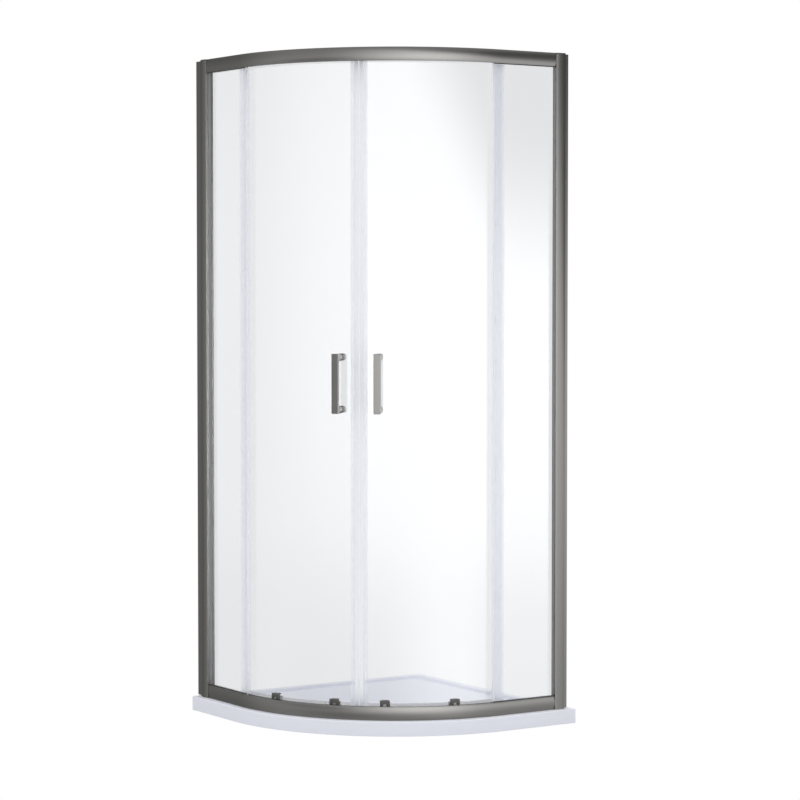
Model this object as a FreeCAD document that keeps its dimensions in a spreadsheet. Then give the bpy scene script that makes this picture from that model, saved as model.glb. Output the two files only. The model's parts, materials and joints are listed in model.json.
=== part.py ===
import FreeCAD, Part
import math
import os
import re
import Sketcher

# Quadrant shower enclosure on a low tray: two straight fixed panes and two curved sliding doors.
# The origin is the centre of the tray's footprint at floor level. The walls stand to the left (-X)
# and behind (+Y), and the curve faces +X, -Y. Lengths are in millimetres, angles in degrees.

V = FreeCAD.Vector

# Driving dimensions. "Inset" is measured inward from the outer face of the rails, "level" up from
# the web of a rail, and angles along the curve are measured from the line where the doors meet.
SIZES = {
    # Tray
    "tray_side": 800,
    "tray_height": 40,
    "tray_radius": 550,
    "tray_edge": 3,
    "rim_margin": 17,
    "wall_rim": 25,
    "front_rim": 75,
    "basin_depth": 10,
    "basin_slope": 10,
    "basin_corner": 30,
    "waste_bore": 45,
    "waste_inset": 200,
    "fall_radius": 108,
    "fall_depth": 4,
    # Rails
    "frame_height": 1850,
    "rail_height": 38,
    "rail_bulge": 7,
    "rail_wall": 2,
    "rail_run": 190,
    "shelf_level": 20,
    "bead_level": 16.5,
    "rib_inset": 26.5,
    "rib_level": 36,
    "port_level": 8,
    "port_inset": 6.25,
    "port_rim": 3,
    "port_bore": 1.5,
    # Posts and wall profiles
    "post_width": 32,
    "post_depth": 34,
    "post_bulge": 2,
    "post_wall": 1.8,
    "groove_front": 10.5,
    "groove_back": 27.5,
    "groove_depth": 12,
    "cap_thick": 3,
    "cap_peg": 10,
    "reach_left": 28,
    "reach_right": 10,
    "profile_wall": 2,
    "profile_overlap": 20,
    "profile_foot": 3,
    "wall_hole": 2.75,
    "wall_hole_pitch": 800,
    "lock_pitch": 700,
    "lock_inset": 8,
    # Glass
    "glass_thick": 5,
    "fixed_inset": 18,
    "fixed_lap": 13,
    "fixed_bite": 15.5,
    "door_inset": 33,
    "door_end": 47.4,
    "door_travel": 22.4,
    "door_foot": 26,
    "door_head": 4,
    "glass_hole": 4,
    # Seals and strips
    "seal_wall": 1.2,
    "seal_cover": 11,
    "seal_nose": 3,
    "seal_lip": 2.4,
    "fixed_seal_cover": 36,
    "meeting_stem": 12.6,
    "meeting_gap": 0.3,
    "trailing_cover": 24,
    "trailing_fin": 7,
    "bottom_seal_cover": 18,
    "bottom_seal_web": 2.5,
    "strip_proud": 1.5,
    "strip_tall": 15.5,
    # Clearances
    "fit_gap": 0.3,
    "curve_gap": 0.15,
    "thread_gap": 0.05,
    "cut_over": 1,
    # Wheels
    "roller_inner": 8.25,
    "roller_outer": 30.85,
    "wheel_inset": 16.8,
    "wheel_radius": 6.5,
    "wheel_width": 6,
    "wheel_chamfer": 0.5,
    "wheel_play": 0.2,
    "axle_radius": 2.2,
    "axle_shoulder": 2.9,
    "axle_flange": 4,
    "flange_thick": 1.2,
    "bolt_shank": 3.5,
    "bolt_head": 7,
    "bolt_head_thick": 4,
    "bolt_collar": 6,
    "bolt_collar_thick": 2.5,
    # Quick-release bottom rollers
    "housing_width": 28,
    "housing_cap": 3.5,
    "housing_back": 10.5,
    "housing_sole": 6,
    "housing_rise": 26,
    "housing_shelf": 18,
    "housing_round": 1.5,
    "clamp_rise": 11,
    "clamp_radius": 2.5,
    "clamp_head": 5,
    "clamp_head_thick": 1.5,
    "slider_inset": 40,
    "slider_thick": 5,
    "slider_width": 12,
    "slider_chin": 4.5,
    "slider_bridge": 2,
    "button_width": 20,
    "button_depth": 7,
    "button_thick": 3.5,
    "button_edge": 0.8,
    "window_width": 5.6,
    "coil_length": 7,
    "coil_radius": 1.9,
    "coil_wire": 0.35,
    "coil_turns": 4,
    # Handles
    "handle_angle": 6.3,
    "handle_level": 929,
    "handle_length": 165,
    "handle_centres": 145,
    "handle_width": 20,
    "handle_thick": 10,
    "handle_reach": 42,
    "handle_edge": 1.5,
    "leg_radius": 9.5,
    "collar_radius": 10.5,
    "collar_thick": 1.5,
    "knob_radius": 10,
    "knob_length": 22,
    "knob_edge": 3,
    "stud_radius": 3,
    "stud_bite": 12,
    # Fasteners and stops
    "screw_radius": 2,
    "screw_head": 3.5,
    "screw_head_thick": 2.4,
    "screw_tip": 0.4,
    "rail_screw_head": 2.3,
    "screw_length": 20,
    "lock_length": 8,
    "cover_radius": 6,
    "cover_height": 4,
    "cover_wall": 1,
    "stop_length": 12,
    "stop_gap": 0.8,
}

doc = FreeCAD.newDocument("ShowerEnclosure")
dims = doc.addObject("Spreadsheet::Sheet", "Dims")
for row, (name, size) in enumerate(SIZES.items(), start=1):
    dims.set("A%d" % row, name)
    dims.set("B%d" % row, str(size))
    dims.setAlias("B%d" % row, name)
doc.recompute()

# Lengths that several pieces share, written as expressions of the driving dimensions.
CENTRE_X = "(tray_side / 2 - tray_radius)"
CENTRE_Y = "(tray_radius - tray_side / 2)"
FRAME = "(tray_radius - rim_margin)"
DOOR_OUT = "(tray_radius - rim_margin - door_inset)"
DOOR_IN = "(tray_radius - rim_margin - door_inset - glass_thick)"
TRACK = "(tray_radius - rim_margin - wheel_inset)"
POST_WALL_SIDE = "(rail_run + post_width)"
FIXED_BACK = "(fixed_inset + glass_thick)"
SIDES = ("left", "right")
SIGN = {"left": -1, "right": 1}
REACH = {"left": "reach_left", "right": "reach_right"}
ROLLERS = ("inner", "outer")

parts = []


def full(expression):
    """The expression with each size name pointed at its cell."""
    return re.sub(r"[a-z]\w*", lambda word: "Dims." + word[0] if word[0] in SIZES else word[0],
                  str(expression))


def value(expression):
    return float(dims.evalExpression(full(expression)))


def bind(thing, prop, expression):
    thing.setExpression(prop, full(expression))


def place(thing, x, y, z, turn="0"):
    """Stand an object at a point, turned about the vertical."""
    thing.Placement = FreeCAD.Placement(V(value(x), value(y), value(z)),
                                        FreeCAD.Rotation(V(0, 0, 1), value(turn)))
    for axis, where in zip("xyz", (x, y, z)):
        bind(thing, "Placement.Base." + axis, where)
    if turn != "0":
        bind(thing, "Placement.Rotation.Angle", turn)


def new_body(label, x=CENTRE_X, y=CENTRE_Y, z="tray_height", turn="0"):
    body = doc.addObject("PartDesign::Body", label)
    body.Label = label
    place(body, x, y, z, turn)
    return body


def origin_feature(body, role):
    return [feature for feature in body.Origin.OriginFeatures if feature.Role == role][0]


def new_sketch(body, plane, level="0", turn="0"):
    """A sketch on one of the body's own planes, lifted along it and turned about its upright."""
    sketch = body.newObject("Sketcher::SketchObject", body.Label + "_sketch")
    sketch.AttachmentSupport = [(origin_feature(body, plane), "")]
    sketch.MapMode = "FlatFace"
    sketch.AttachmentOffset = FreeCAD.Placement(V(0, 0, value(level)),
                                                FreeCAD.Rotation(V(0, 1, 0), value(turn)))
    if level != "0":
        bind(sketch, "AttachmentOffset.Base.z", level)
    if turn != "0":
        bind(sketch, "AttachmentOffset.Rotation.Angle", turn)
    return sketch


def arc_between(start, end, radius, side):
    """The shorter arc between two points, counter-clockwise where side is 1."""
    chord = end - start
    half = chord.Length / 2
    normal = V(-chord.y, chord.x, 0).normalize()
    middle = (start + end) * 0.5 + normal * (side * math.sqrt(max(radius ** 2 - half ** 2, 0)))
    first, last = (start, end) if side > 0 else (end, start)
    turn_from = math.atan2(first.y - middle.y, first.x - middle.x)
    turn_to = math.atan2(last.y - middle.y, last.x - middle.x)
    if turn_to < turn_from:
        turn_to += 2 * math.pi
    return Part.ArcOfCircle(Part.Circle(middle, V(0, 0, 1), radius), turn_from, turn_to)


def fix_point(sketch, geometry, position, x, y):
    for kind, letter, where in (("DistanceX", "x", x), ("DistanceY", "y", y)):
        number = sketch.addConstraint(
            Sketcher.Constraint(kind, -1, 1, geometry, position, value(where)))
        name = "%s%d" % (letter, number)
        sketch.renameConstraint(number, name)
        bind(sketch, "Constraints." + name, where)


def fix_radius(sketch, geometry, radius):
    number = sketch.addConstraint(Sketcher.Constraint("Radius", geometry, value(radius)))
    name = "r%d" % number
    sketch.renameConstraint(number, name)
    bind(sketch, "Constraints." + name, radius)


def outline(sketch, corners):
    """A closed outline. A corner is (x, y), or (x, y, radius, side) where an arc starts."""
    spots = [V(value(corner[0]), value(corner[1]), 0) for corner in corners]
    edges = []
    for number, corner in enumerate(corners):
        start, end = spots[number], spots[(number + 1) % len(spots)]
        if len(corner) == 2:
            edges.append((sketch.addGeometry(Part.LineSegment(start, end), False), 1, 2))
        else:
            arc = arc_between(start, end, value(corner[2]), corner[3])
            ends = (1, 2) if corner[3] > 0 else (2, 1)
            edges.append((sketch.addGeometry(arc, False),) + ends)
    for number, (edge, start, end) in enumerate(edges):
        following = edges[(number + 1) % len(edges)]
        sketch.addConstraint(Sketcher.Constraint("Coincident", edge, end, following[0], following[1]))
    for (edge, start, end), corner in zip(edges, corners):
        fix_point(sketch, edge, start, corner[0], corner[1])
        if len(corner) > 2:
            fix_radius(sketch, edge, corner[2])


def rectangle(sketch, x0, y0, x1, y1):
    outline(sketch, [(x0, y0), (x1, y0), (x1, y1), (x0, y1)])


def circle(sketch, x, y, radius):
    geometry = sketch.addGeometry(
        Part.Circle(V(value(x), value(y), 0), V(0, 0, 1), value(radius)), False)
    fix_point(sketch, geometry, 3, x, y)
    fix_radius(sketch, geometry, radius)


def feature(body, kind, sketch, **settings):
    made = body.newObject("PartDesign::" + kind, body.Label + "_" + kind.lower())
    made.Profile = sketch
    for prop, setting in settings.items():
        setattr(made, prop, setting)
    return made


def pad(body, sketch, length, reverse=False, symmetric=False):
    made = feature(body, "Pad", sketch, Reversed=reverse)
    if symmetric:
        made.SideType = "Symmetric"
    bind(made, "Length", length)
    return made


def pocket(body, sketch, length=None, reverse=False):
    made = feature(body, "Pocket", sketch, Reversed=reverse)
    if length is None:
        made.Type = "ThroughAll"
    else:
        bind(made, "Length", length)
    return made


def revolve(body, sketch, angle, axis="Z_Axis", reverse=False):
    made = feature(body, "Revolution", sketch, Reversed=reverse)
    made.ReferenceAxis = (origin_feature(body, axis), [""])
    bind(made, "Angle", angle)
    return made


def round_edges(body, radius, wanted):
    """Fillet the edges of the body's last feature for which wanted(edge) is true."""
    doc.recompute()
    base = body.Tip
    names = ["Edge%d" % number for number, edge in enumerate(base.Shape.Edges, start=1) if wanted(edge)]
    made = body.newObject("PartDesign::Fillet", body.Label + "_fillet")
    made.Base = (base, names)
    bind(made, "Radius", radius)


def turned(label, profile, x, y, z, turn):
    """A piece turned about its own X axis from (along, radius) corners."""
    body = new_body(label, x, y, z, turn)
    sketch = new_sketch(body, "XY_Plane")
    outline(sketch, profile)
    revolve(body, sketch, "360", "X_Axis")
    return body


def keep(thing):
    parts.append(thing)


def keep_group(label, things):
    """Several like solids under one name."""
    group = doc.addObject("Part::Compound", label)
    group.Label = label
    group.Links = things
    parts.append(group)


def less(first, second):
    return "%s - (%s)" % (first, second)


def plan(side, inset, along):
    """Plan point of a straight run: inset from the rail face, and distance from the curve's end."""
    if side == "right":
        return less(FRAME, inset), along
    return "-(%s)" % along, "-(%s)" % less(FRAME, inset)


def plan_outline(sketch, side, corners):
    """An outline given as (inset, along) corners, mirrored for the left run."""
    drawn = []
    for corner in corners:
        bend = (corner[2], corner[3] * SIGN[side]) if len(corner) > 2 else ()
        drawn.append(plan(side, corner[0], corner[1]) + bend)
    outline(sketch, drawn)


def side_sketch(body, side, level="0"):
    """A sketch that faces out of a straight run. Its x is SIGN times the distance along the run."""
    return new_sketch(body, "YZ_Plane" if side == "right" else "XZ_Plane", level)


def end_sketch(body, side, level="0"):
    """A sketch across a straight run. Its x is SIGN times the distance from the curve's centre."""
    return new_sketch(body, "XZ_Plane" if side == "right" else "YZ_Plane", level)


def signed(side, length):
    return "%d * (%s)" % (SIGN[side], length)


def heading(side, angle):
    """Direction of the spoke at an angle along the curve."""
    return "(-45 + %s)" % signed(side, angle)


# Tray: a cast slab with a quadrant front, a shallow basin with sloping sides, and a dished fall
# round the waste hole, which sits near the front of the curve.
def basin_outline(sketch, wall, front):
    left = "%s - tray_side / 2" % wall
    back = "tray_side / 2 - (%s)" % wall
    near = "%s - tray_side / 2" % front
    right = "tray_side / 2 - (%s)" % front
    outline(sketch, [
        (left, near + " + basin_corner", "basin_corner", 1),
        (left + " + basin_corner", near),
        (CENTRE_X, near, "tray_radius - (%s)" % front, 1),
        (right, CENTRE_Y),
        (right, back + " - basin_corner", "basin_corner", 1),
        (right + " - basin_corner", back),
        (left + " + basin_corner", back, "basin_corner", 1),
        (left, back + " - basin_corner"),
    ])


def make_tray():
    body = new_body("tray", "0", "0", "0")
    slab = new_sketch(body, "XY_Plane")
    half = "tray_side / 2"
    outline(slab, [
        ("-tray_side / 2", "-tray_side / 2"),
        (CENTRE_X, "-tray_side / 2", "tray_radius", 1),
        (half, CENTRE_Y),
        (half, half),
        ("-tray_side / 2", half),
    ])
    pad(body, slab, "tray_height")
    top = value("tray_height")
    round_edges(body, "tray_edge", lambda edge: edge.BoundBox.ZMin > top - 0.01)
    brim = new_sketch(body, "XY_Plane", "tray_height")
    basin_outline(brim, "wall_rim", "front_rim")
    floor = new_sketch(body, "XY_Plane", "tray_height - basin_depth")
    basin_outline(floor, "(wall_rim + basin_slope)", "(front_rim + basin_slope)")
    basin = feature(body, "SubtractiveLoft", brim)
    basin.Sections = [floor]
    waste_x = "%s + (tray_radius - waste_inset) * cos(45)" % CENTRE_X
    waste_y = "%s - (tray_radius - waste_inset) * cos(45)" % CENTRE_Y
    fall = body.newObject("PartDesign::SubtractiveCone", "tray_fall")
    bind(fall, "Radius1", "waste_bore")
    bind(fall, "Radius2", "fall_radius")
    bind(fall, "Height", "fall_depth")
    bind(fall, "Placement.Base.x", waste_x)
    bind(fall, "Placement.Base.y", waste_y)
    bind(fall, "Placement.Base.z", "tray_height - basin_depth - fall_depth")
    waste = new_sketch(body, "XY_Plane")
    circle(waste, waste_x, waste_y, "waste_bore")
    pocket(body, waste, reverse=True)
    keep(body)


# Rails: one curved extrusion, used twice. Its section has a bull-nosed fascia, a web, a shelf that
# the wheels run on, a rib that carries the pane's strip and ends in a retaining bead, and two ports
# for the corner screws. The top rail is the same piece turned over.
NOSE = "((rail_height ^ 2 / 4 + rail_bulge ^ 2) / (2 * rail_bulge))"


def fascia_inside(level):
    """Inset of the fascia's inner face at a level."""
    rise = "(%s - rail_height / 2)" % level
    return "%s - sqrt((%s - rail_wall) ^ 2 - %s ^ 2)" % (NOSE, NOSE, rise)


def rail_section():
    inner = NOSE + " - rail_wall"
    boss = "port_inset + port_rim"
    rib_out = "rib_inset + rail_wall"
    shelf_top = "shelf_level + rail_wall"
    low, high = "port_level - port_rim", "port_level + port_rim"
    far_low, far_high = "rail_height - port_level - port_rim", "rail_height - port_level + port_rim"
    return [
        ("rail_bulge", "0", NOSE, -1),
        ("rail_bulge", "rail_height"),
        (fascia_inside("rail_height"), "rail_height", inner, 1),
        (fascia_inside("(%s)" % far_high), far_high),
        (boss, far_high),
        (boss, far_low),
        (fascia_inside("(%s)" % far_low), far_low, inner, 1),
        (fascia_inside("(%s)" % shelf_top), shelf_top),
        ("rib_inset", shelf_top),
        ("rib_inset", "rib_level"),
        (rib_out, "rib_level"),
        (rib_out, "bead_level"),
        ("rib_inset", "bead_level"),
        ("rib_inset", "shelf_level"),
        (fascia_inside("shelf_level"), "shelf_level", inner, 1),
        (fascia_inside("(%s)" % high), high),
        (boss, high),
        (boss, low),
        (fascia_inside("(%s)" % low), low, inner, 1),
        (fascia_inside("rail_wall"), "rail_wall"),
        (rib_out, "rail_wall"),
        (rib_out, "0"),
    ]


def make_rail(label, level, upside_down):
    body = new_body(label, z=level)
    if upside_down:
        body.Placement.Rotation = FreeCAD.Rotation(V(1, -1, 0), 180)
    ends = []
    for side in ("right", "left"):
        section = end_sketch(body, side)
        outline(section, [(signed(side, less(FRAME, corner[0])), corner[1])
                          + ((corner[2], -corner[3] * SIGN[side]) if len(corner) > 2 else ())
                          for corner in rail_section()])
        for port in ("port_level", "rail_height - port_level"):
            circle(section, signed(side, less(FRAME, "port_inset")), port, "port_bore")
        ends.append(section)
    revolve(body, ends[0], "90", reverse=True)
    pad(body, ends[0], "rail_run", reverse=True)
    pad(body, ends[1], "rail_run", reverse=True)
    keep(body)


# Posts: thin-walled uprights with a slightly crowned face, a glazing groove on the room side and an
# open back that slides over the wall profile.
CROWN = "((post_width ^ 2 / 4 + post_bulge ^ 2) / (2 * post_bulge))"


def lock_levels():
    return ["frame_height / 2 + %d * lock_pitch" % step for step in (-1, 0, 1)]


def make_post(side):
    body = new_body("post_" + side)
    section = new_sketch(body, "XY_Plane")
    room = "rail_run"
    skin = "(rail_run + post_wall)"
    groove = "(rail_run + groove_depth)"
    plan_outline(section, side, [
        ("post_bulge", POST_WALL_SIDE, CROWN, -1),
        ("post_bulge", room),
        ("groove_front", room),
        ("groove_front", groove),
        ("groove_back", groove),
        ("groove_back", room),
        ("post_depth", room),
        ("post_depth", POST_WALL_SIDE),
        ("post_depth - post_wall", POST_WALL_SIDE),
        ("post_depth - post_wall", skin),
        ("groove_back + post_wall", skin),
        ("groove_back + post_wall", groove + " + post_wall"),
        ("groove_front - post_wall", groove + " + post_wall"),
        ("groove_front - post_wall", skin),
        ("post_bulge + post_wall", skin, CROWN, 1),
        ("post_bulge + post_wall", POST_WALL_SIDE),
    ])
    pad(body, section, "frame_height - cap_thick")
    ports = end_sketch(body, side, "-(rail_run - cut_over)")
    for rail_foot in ("0", "frame_height - rail_height"):
        for port in ("port_level", "rail_height - port_level"):
            circle(ports, signed(side, less(FRAME, "port_inset")), rail_foot + " + " + port,
                   "port_bore + fit_gap")
    pocket(body, ports, "post_wall + 2 * cut_over")
    locks = side_sketch(body, side, less(FRAME, "post_depth + cut_over"))
    for level in lock_levels():
        circle(locks, signed(side, POST_WALL_SIDE + " - lock_inset"), level, "screw_radius + fit_gap")
    pocket(body, locks, "post_wall + 2 * cut_over", reverse=True)
    keep(body)


def make_cap(side):
    body = new_body("post_cap_" + side)
    plate = new_sketch(body, "XY_Plane", "frame_height - cap_thick")
    plan_outline(plate, side, [
        ("post_bulge", POST_WALL_SIDE, CROWN, -1),
        ("post_bulge", "rail_run"),
        ("post_depth", "rail_run"),
        ("post_depth", POST_WALL_SIDE),
    ])
    pad(body, plate, "cap_thick")
    peg = new_sketch(body, "XY_Plane", "frame_height - cap_thick")
    near = "rail_run + groove_depth + post_wall + fit_gap"
    far = POST_WALL_SIDE + " - post_wall"
    plan_outline(peg, side, [
        ("groove_front", near),
        ("groove_back", near),
        ("groove_back", far),
        ("groove_front", far),
    ])
    pad(body, peg, "cap_peg", reverse=True)
    return body


# Wall profiles: channels with slotted-in flanges, screwed to the wall through their webs. The posts
# slide over them to take up walls that are out of true.
def make_wall_profile(side):
    body = new_body("wall_profile_" + side, z="tray_height + profile_foot")
    section = new_sketch(body, "XY_Plane")
    front = "post_bulge + post_wall + fit_gap"
    back = "post_depth - post_wall - fit_gap"
    tip = POST_WALL_SIDE + " - profile_overlap"
    wall = POST_WALL_SIDE + " + " + REACH[side]
    plan_outline(section, side, [
        (front, tip),
        (front, wall),
        (back, wall),
        (back, tip),
        (back + " - profile_wall", tip),
        (back + " - profile_wall", wall + " - profile_wall"),
        (front + " + profile_wall", wall + " - profile_wall"),
        (front + " + profile_wall", tip),
    ])
    tall = "(frame_height - cap_thick - fit_gap - profile_foot)"
    pad(body, section, tall)
    holes = end_sketch(body, side)
    middle = "(post_bulge + post_depth) / 2"
    for step in (-1, 0, 1):
        level = "%s / 2 + %d * wall_hole_pitch" % (tall, step)
        circle(holes, signed(side, less(FRAME, middle)), level, "wall_hole")
    pocket(body, holes)
    locks = side_sketch(body, side, less(FRAME, back + " + cut_over"))
    for level in lock_levels():
        circle(locks, signed(side, POST_WALL_SIDE + " - lock_inset"), level + " - profile_foot",
               "screw_radius + fit_gap")
    pocket(body, locks, "profile_wall + 2 * cut_over", reverse=True)
    keep(body)


# Fixed panes, with the gaskets and strips that hold them and the clear seal on their free edge.
def upright(label, side, corners, foot, head):
    """A vertical extrusion drawn as (inset, along) corners between two levels."""
    body = new_body(label, z="tray_height + " + foot)
    section = new_sketch(body, "XY_Plane")
    plan_outline(section, side, corners)
    pad(body, section, "frame_height - (%s) - (%s)" % (foot, head))
    return body


def make_fixed_pane(side):
    foot = "(rail_height - fixed_bite)"
    pane_end = "rail_run + groove_depth - fit_gap"
    keep(upright("fixed_glass_" + side, side, [
        ("fixed_inset", "-fixed_lap"),
        (FIXED_BACK, "-fixed_lap"),
        (FIXED_BACK, pane_end),
        ("fixed_inset", pane_end),
    ], foot, foot))
    groove_end = "rail_run + groove_depth"
    gasket_foot = "(rail_height + fit_gap)"
    keep(upright("post_gasket_" + side, side, [
        ("groove_front", "rail_run"),
        ("fixed_inset", "rail_run"),
        ("fixed_inset", pane_end),
        (FIXED_BACK, pane_end),
        (FIXED_BACK, "rail_run"),
        ("groove_back", "rail_run"),
        ("groove_back", groove_end),
        ("groove_front", groove_end),
    ], gasket_foot, gasket_foot))
    tip = "-(fixed_lap + seal_nose)"
    cover = "fixed_seal_cover - fixed_lap"
    lip = FIXED_BACK + " + seal_wall + seal_lip"
    seal_foot = "(rail_height + strip_proud + fit_gap)"
    keep(upright("fixed_edge_seal_" + side, side, [
        ("fixed_inset - seal_wall", tip),
        (lip, tip),
        (lip, tip + " + seal_wall"),
        (FIXED_BACK + " + seal_wall", tip + " + seal_wall"),
        (FIXED_BACK + " + seal_wall", cover),
        (FIXED_BACK, cover),
        (FIXED_BACK, "-fixed_lap"),
        ("fixed_inset", "-fixed_lap"),
        ("fixed_inset", cover),
        ("fixed_inset - seal_wall", cover),
    ], seal_foot, seal_foot))


def strip_box(label, side, inset_from, inset_to, along_from, along_to, foot, height):
    """A straight strip in a run, as a box."""
    box = doc.addObject("Part::Box", label)
    depth = less(inset_to, inset_from)
    length = less(along_to, along_from)
    bind(box, "Length", depth if side == "right" else length)
    bind(box, "Width", length if side == "right" else depth)
    bind(box, "Height", height)
    x, y = plan(side, inset_to, along_from) if side == "right" else plan(side, inset_from, along_to)
    place(box, "%s + %s" % (CENTRE_X, x), "%s + %s" % (CENTRE_Y, y), "tray_height + " + foot)
    return box


def make_glazing_strips():
    strips = []
    for side in SIDES:
        spans = (
            ("outer", fascia_inside("rail_height") + " + thread_gap", "fixed_inset",
             "rail_height + strip_proud - strip_tall"),
            ("inner", FIXED_BACK, "rib_inset", "rib_level - strip_tall + strip_proud"),
        )
        for name, near, far, low in spans:
            for rail in ("bottom", "top"):
                foot = low if rail == "bottom" else "frame_height - (%s) - strip_tall" % low
                strips.append(strip_box("strip_%s_%s_%s" % (side, name, rail), side, near, far,
                                        "-fixed_lap", "rail_run", "(%s)" % foot, "strip_tall"))
    keep_group("glazing_strips", strips)


# Screws and stops.
def heading_along(side):
    return "90" if side == "right" else "180"


def heading_out(side):
    return "0" if side == "right" else "-90"


def frame_point(side, inset, along):
    x, y = plan(side, inset, along)
    return "%s + %s" % (CENTRE_X, x), "%s + %s" % (CENTRE_Y, y)


def screw_profile(length, shank, head):
    thread = shank + " - thread_gap"
    return [
        ("-(%s)" % length, "0"),
        ("-(%s)" % length, thread + " - screw_tip"),
        ("screw_tip - (%s)" % length, thread),
        ("0", thread),
        ("0", head),
        ("screw_head_thick / 2", head),
        ("screw_head_thick", head + " / 2"),
        ("screw_head_thick", "0"),
    ]


def make_screws():
    rail_screws = []
    lock_screws = []
    covers = []
    for side in SIDES:
        x, y = frame_point(side, "port_inset", "rail_run + post_wall")
        for rail_foot in ("0", "frame_height - rail_height"):
            for port in ("port_level", "rail_height - port_level"):
                level = "tray_height + %s + %s" % (rail_foot, port)
                label = "rail_screw_%s_%d" % (side, len(rail_screws))
                profile = screw_profile("screw_length", "port_bore", "rail_screw_head")
                rail_screws.append(turned(label, profile, x, y, level, heading_along(side)))
        x, y = frame_point(side, "post_depth", POST_WALL_SIDE + " - lock_inset")
        inward = "180 + " + heading_out(side)
        for number, level in enumerate(lock_levels()):
            level = "tray_height + " + level
            label = "%s_%d" % (side, number)
            profile = screw_profile("lock_length", "screw_radius", "screw_head")
            lock_screws.append(turned("lock_screw_" + label, profile, x, y, level, inward))
            covers.append(turned("cover_" + label, [
                ("0", "cover_radius - cover_wall"),
                ("0", "cover_radius"),
                ("cover_height / 2", "cover_radius"),
                ("cover_height", "cover_radius / 2"),
                ("cover_height", "0"),
                ("cover_height - cover_wall", "0"),
                ("cover_height - cover_wall", "cover_radius / 2 - cover_wall / 2"),
                ("cover_height / 2", "cover_radius - cover_wall"),
            ], x, y, level, inward))
    keep_group("rail_screws", rail_screws)
    keep_group("profile_screws", lock_screws)
    keep_group("screw_covers", covers)


def make_stops():
    stops = []
    reach = "%s * sin(roller_outer + door_travel - 45) + wheel_radius + stop_gap" % TRACK
    height = "shelf_level - rail_wall"
    for side in SIDES:
        for rail in ("bottom", "top"):
            foot = "rail_wall" if rail == "bottom" else "frame_height - shelf_level"
            stops.append(strip_box("stop_%s_%s" % (side, rail), side, "port_inset + port_rim + fit_gap",
                                   "rib_inset - rail_wall", reach, reach + " + stop_length", foot, height))
    keep_group("door_stops", stops)


# Doors: curved panes with holes for the handle and the rollers. Pieces on a door are drawn on the
# spokes of the curve, as distances from its centre.
AXLE = "(shelf_level - wheel_radius - wheel_play)"
CLAMP = "(door_foot + clamp_rise)"
GLASS_FACE = "(%s + curve_gap)" % DOOR_OUT
GLASS_REAR = "(%s - curve_gap)" % DOOR_IN
ROLLER_ANGLE = {"inner": "roller_inner", "outer": "roller_outer"}


def arc_angle(length):
    """Angle that a length along the outside of the door's glass takes up."""
    return "((%s) / %s * 180 / pi)" % (length, DOOR_OUT)


def spoke_body(label, side, angle, level="0"):
    return new_body(label, z="tray_height + " + level, turn=heading(side, angle))


def spoke_turned(label, side, angle, level, profile):
    """A piece turned about a spoke, from (distance from the centre, radius) corners."""
    return turned(label, profile, CENTRE_X, CENTRE_Y, "tray_height + " + level, heading(side, angle))


def make_door_glass(side):
    start = arc_angle("meeting_stem")
    body = spoke_body("door_glass_" + side, side, start)
    section = new_sketch(body, "XZ_Plane")
    rectangle(section, DOOR_IN, "door_foot", DOOR_OUT, "frame_height - door_head")
    revolve(body, section, less("door_end", start), reverse=side == "left")
    handle_holes = ["handle_level + %d * handle_centres / 2" % step for step in (-1, 1)]
    roller_holes = [CLAMP, less("frame_height", AXLE)]
    drilled_at = (
        ("handle_angle", handle_holes),
        ("roller_inner", roller_holes),
        ("roller_outer", roller_holes),
    )
    for angle, levels in drilled_at:
        holes = new_sketch(body, "YZ_Plane", turn=signed(side, less(angle, start)))
        for level in levels:
            circle(holes, "0", level, "glass_hole")
        pocket(body, holes, reverse=True)
    keep(body)


# Door seals: clear extrusions that follow the curve of the glass.
def curve_outline(sketch, side, corners):
    """An outline of (distance from the centre, angle) corners, with arcs between equal distances."""
    drawn = []
    for number, (reach, angle) in enumerate(corners):
        next_reach, next_angle = corners[(number + 1) % len(corners)]
        bend = ()
        if next_reach == reach:
            bend = (reach, SIGN[side] if value(next_angle) > value(angle) else -SIGN[side])
        point = ("%s * cos(%s)" % (reach, angle), signed(side, "%s * sin(%s)" % (reach, angle)))
        drawn.append(point + bend)
    outline(sketch, drawn)


def curved_upright(label, side, loops, foot, tall):
    body = new_body(label, z="tray_height + " + foot, turn="-45")
    section = new_sketch(body, "XY_Plane")
    for loop in loops:
        curve_outline(section, side, loop)
    pad(body, section, tall)
    return body


def make_meeting_seal(side):
    front = "(%s + seal_wall)" % GLASS_FACE
    rear = "(%s - seal_wall)" % GLASS_REAR
    near = arc_angle("meeting_gap")
    box_near = arc_angle("meeting_gap + seal_wall")
    box_far = arc_angle("meeting_stem - seal_wall")
    edge = arc_angle("meeting_stem")
    cover = arc_angle("meeting_stem + seal_cover")
    tall = "frame_height - door_head - door_foot"
    strip = [(rear, near), (rear, cover), (GLASS_REAR, cover), (GLASS_REAR, edge),
             (GLASS_FACE, edge), (GLASS_FACE, cover), (front, cover), (front, near)]
    box = [(GLASS_REAR, box_near), (GLASS_REAR, box_far), (GLASS_FACE, box_far), (GLASS_FACE, box_near)]
    keep(curved_upright("meeting_seal_" + side, side, [strip, box], "door_foot", tall))
    near = arc_angle("meeting_gap + seal_wall + thread_gap")
    far = arc_angle("meeting_stem - seal_wall - thread_gap")
    magnet = [(DOOR_IN, near), (DOOR_IN, far), (DOOR_OUT, far), (DOOR_OUT, near)]
    keep(curved_upright("magnet_strip_" + side, side, [magnet], "door_foot", tall))


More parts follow.
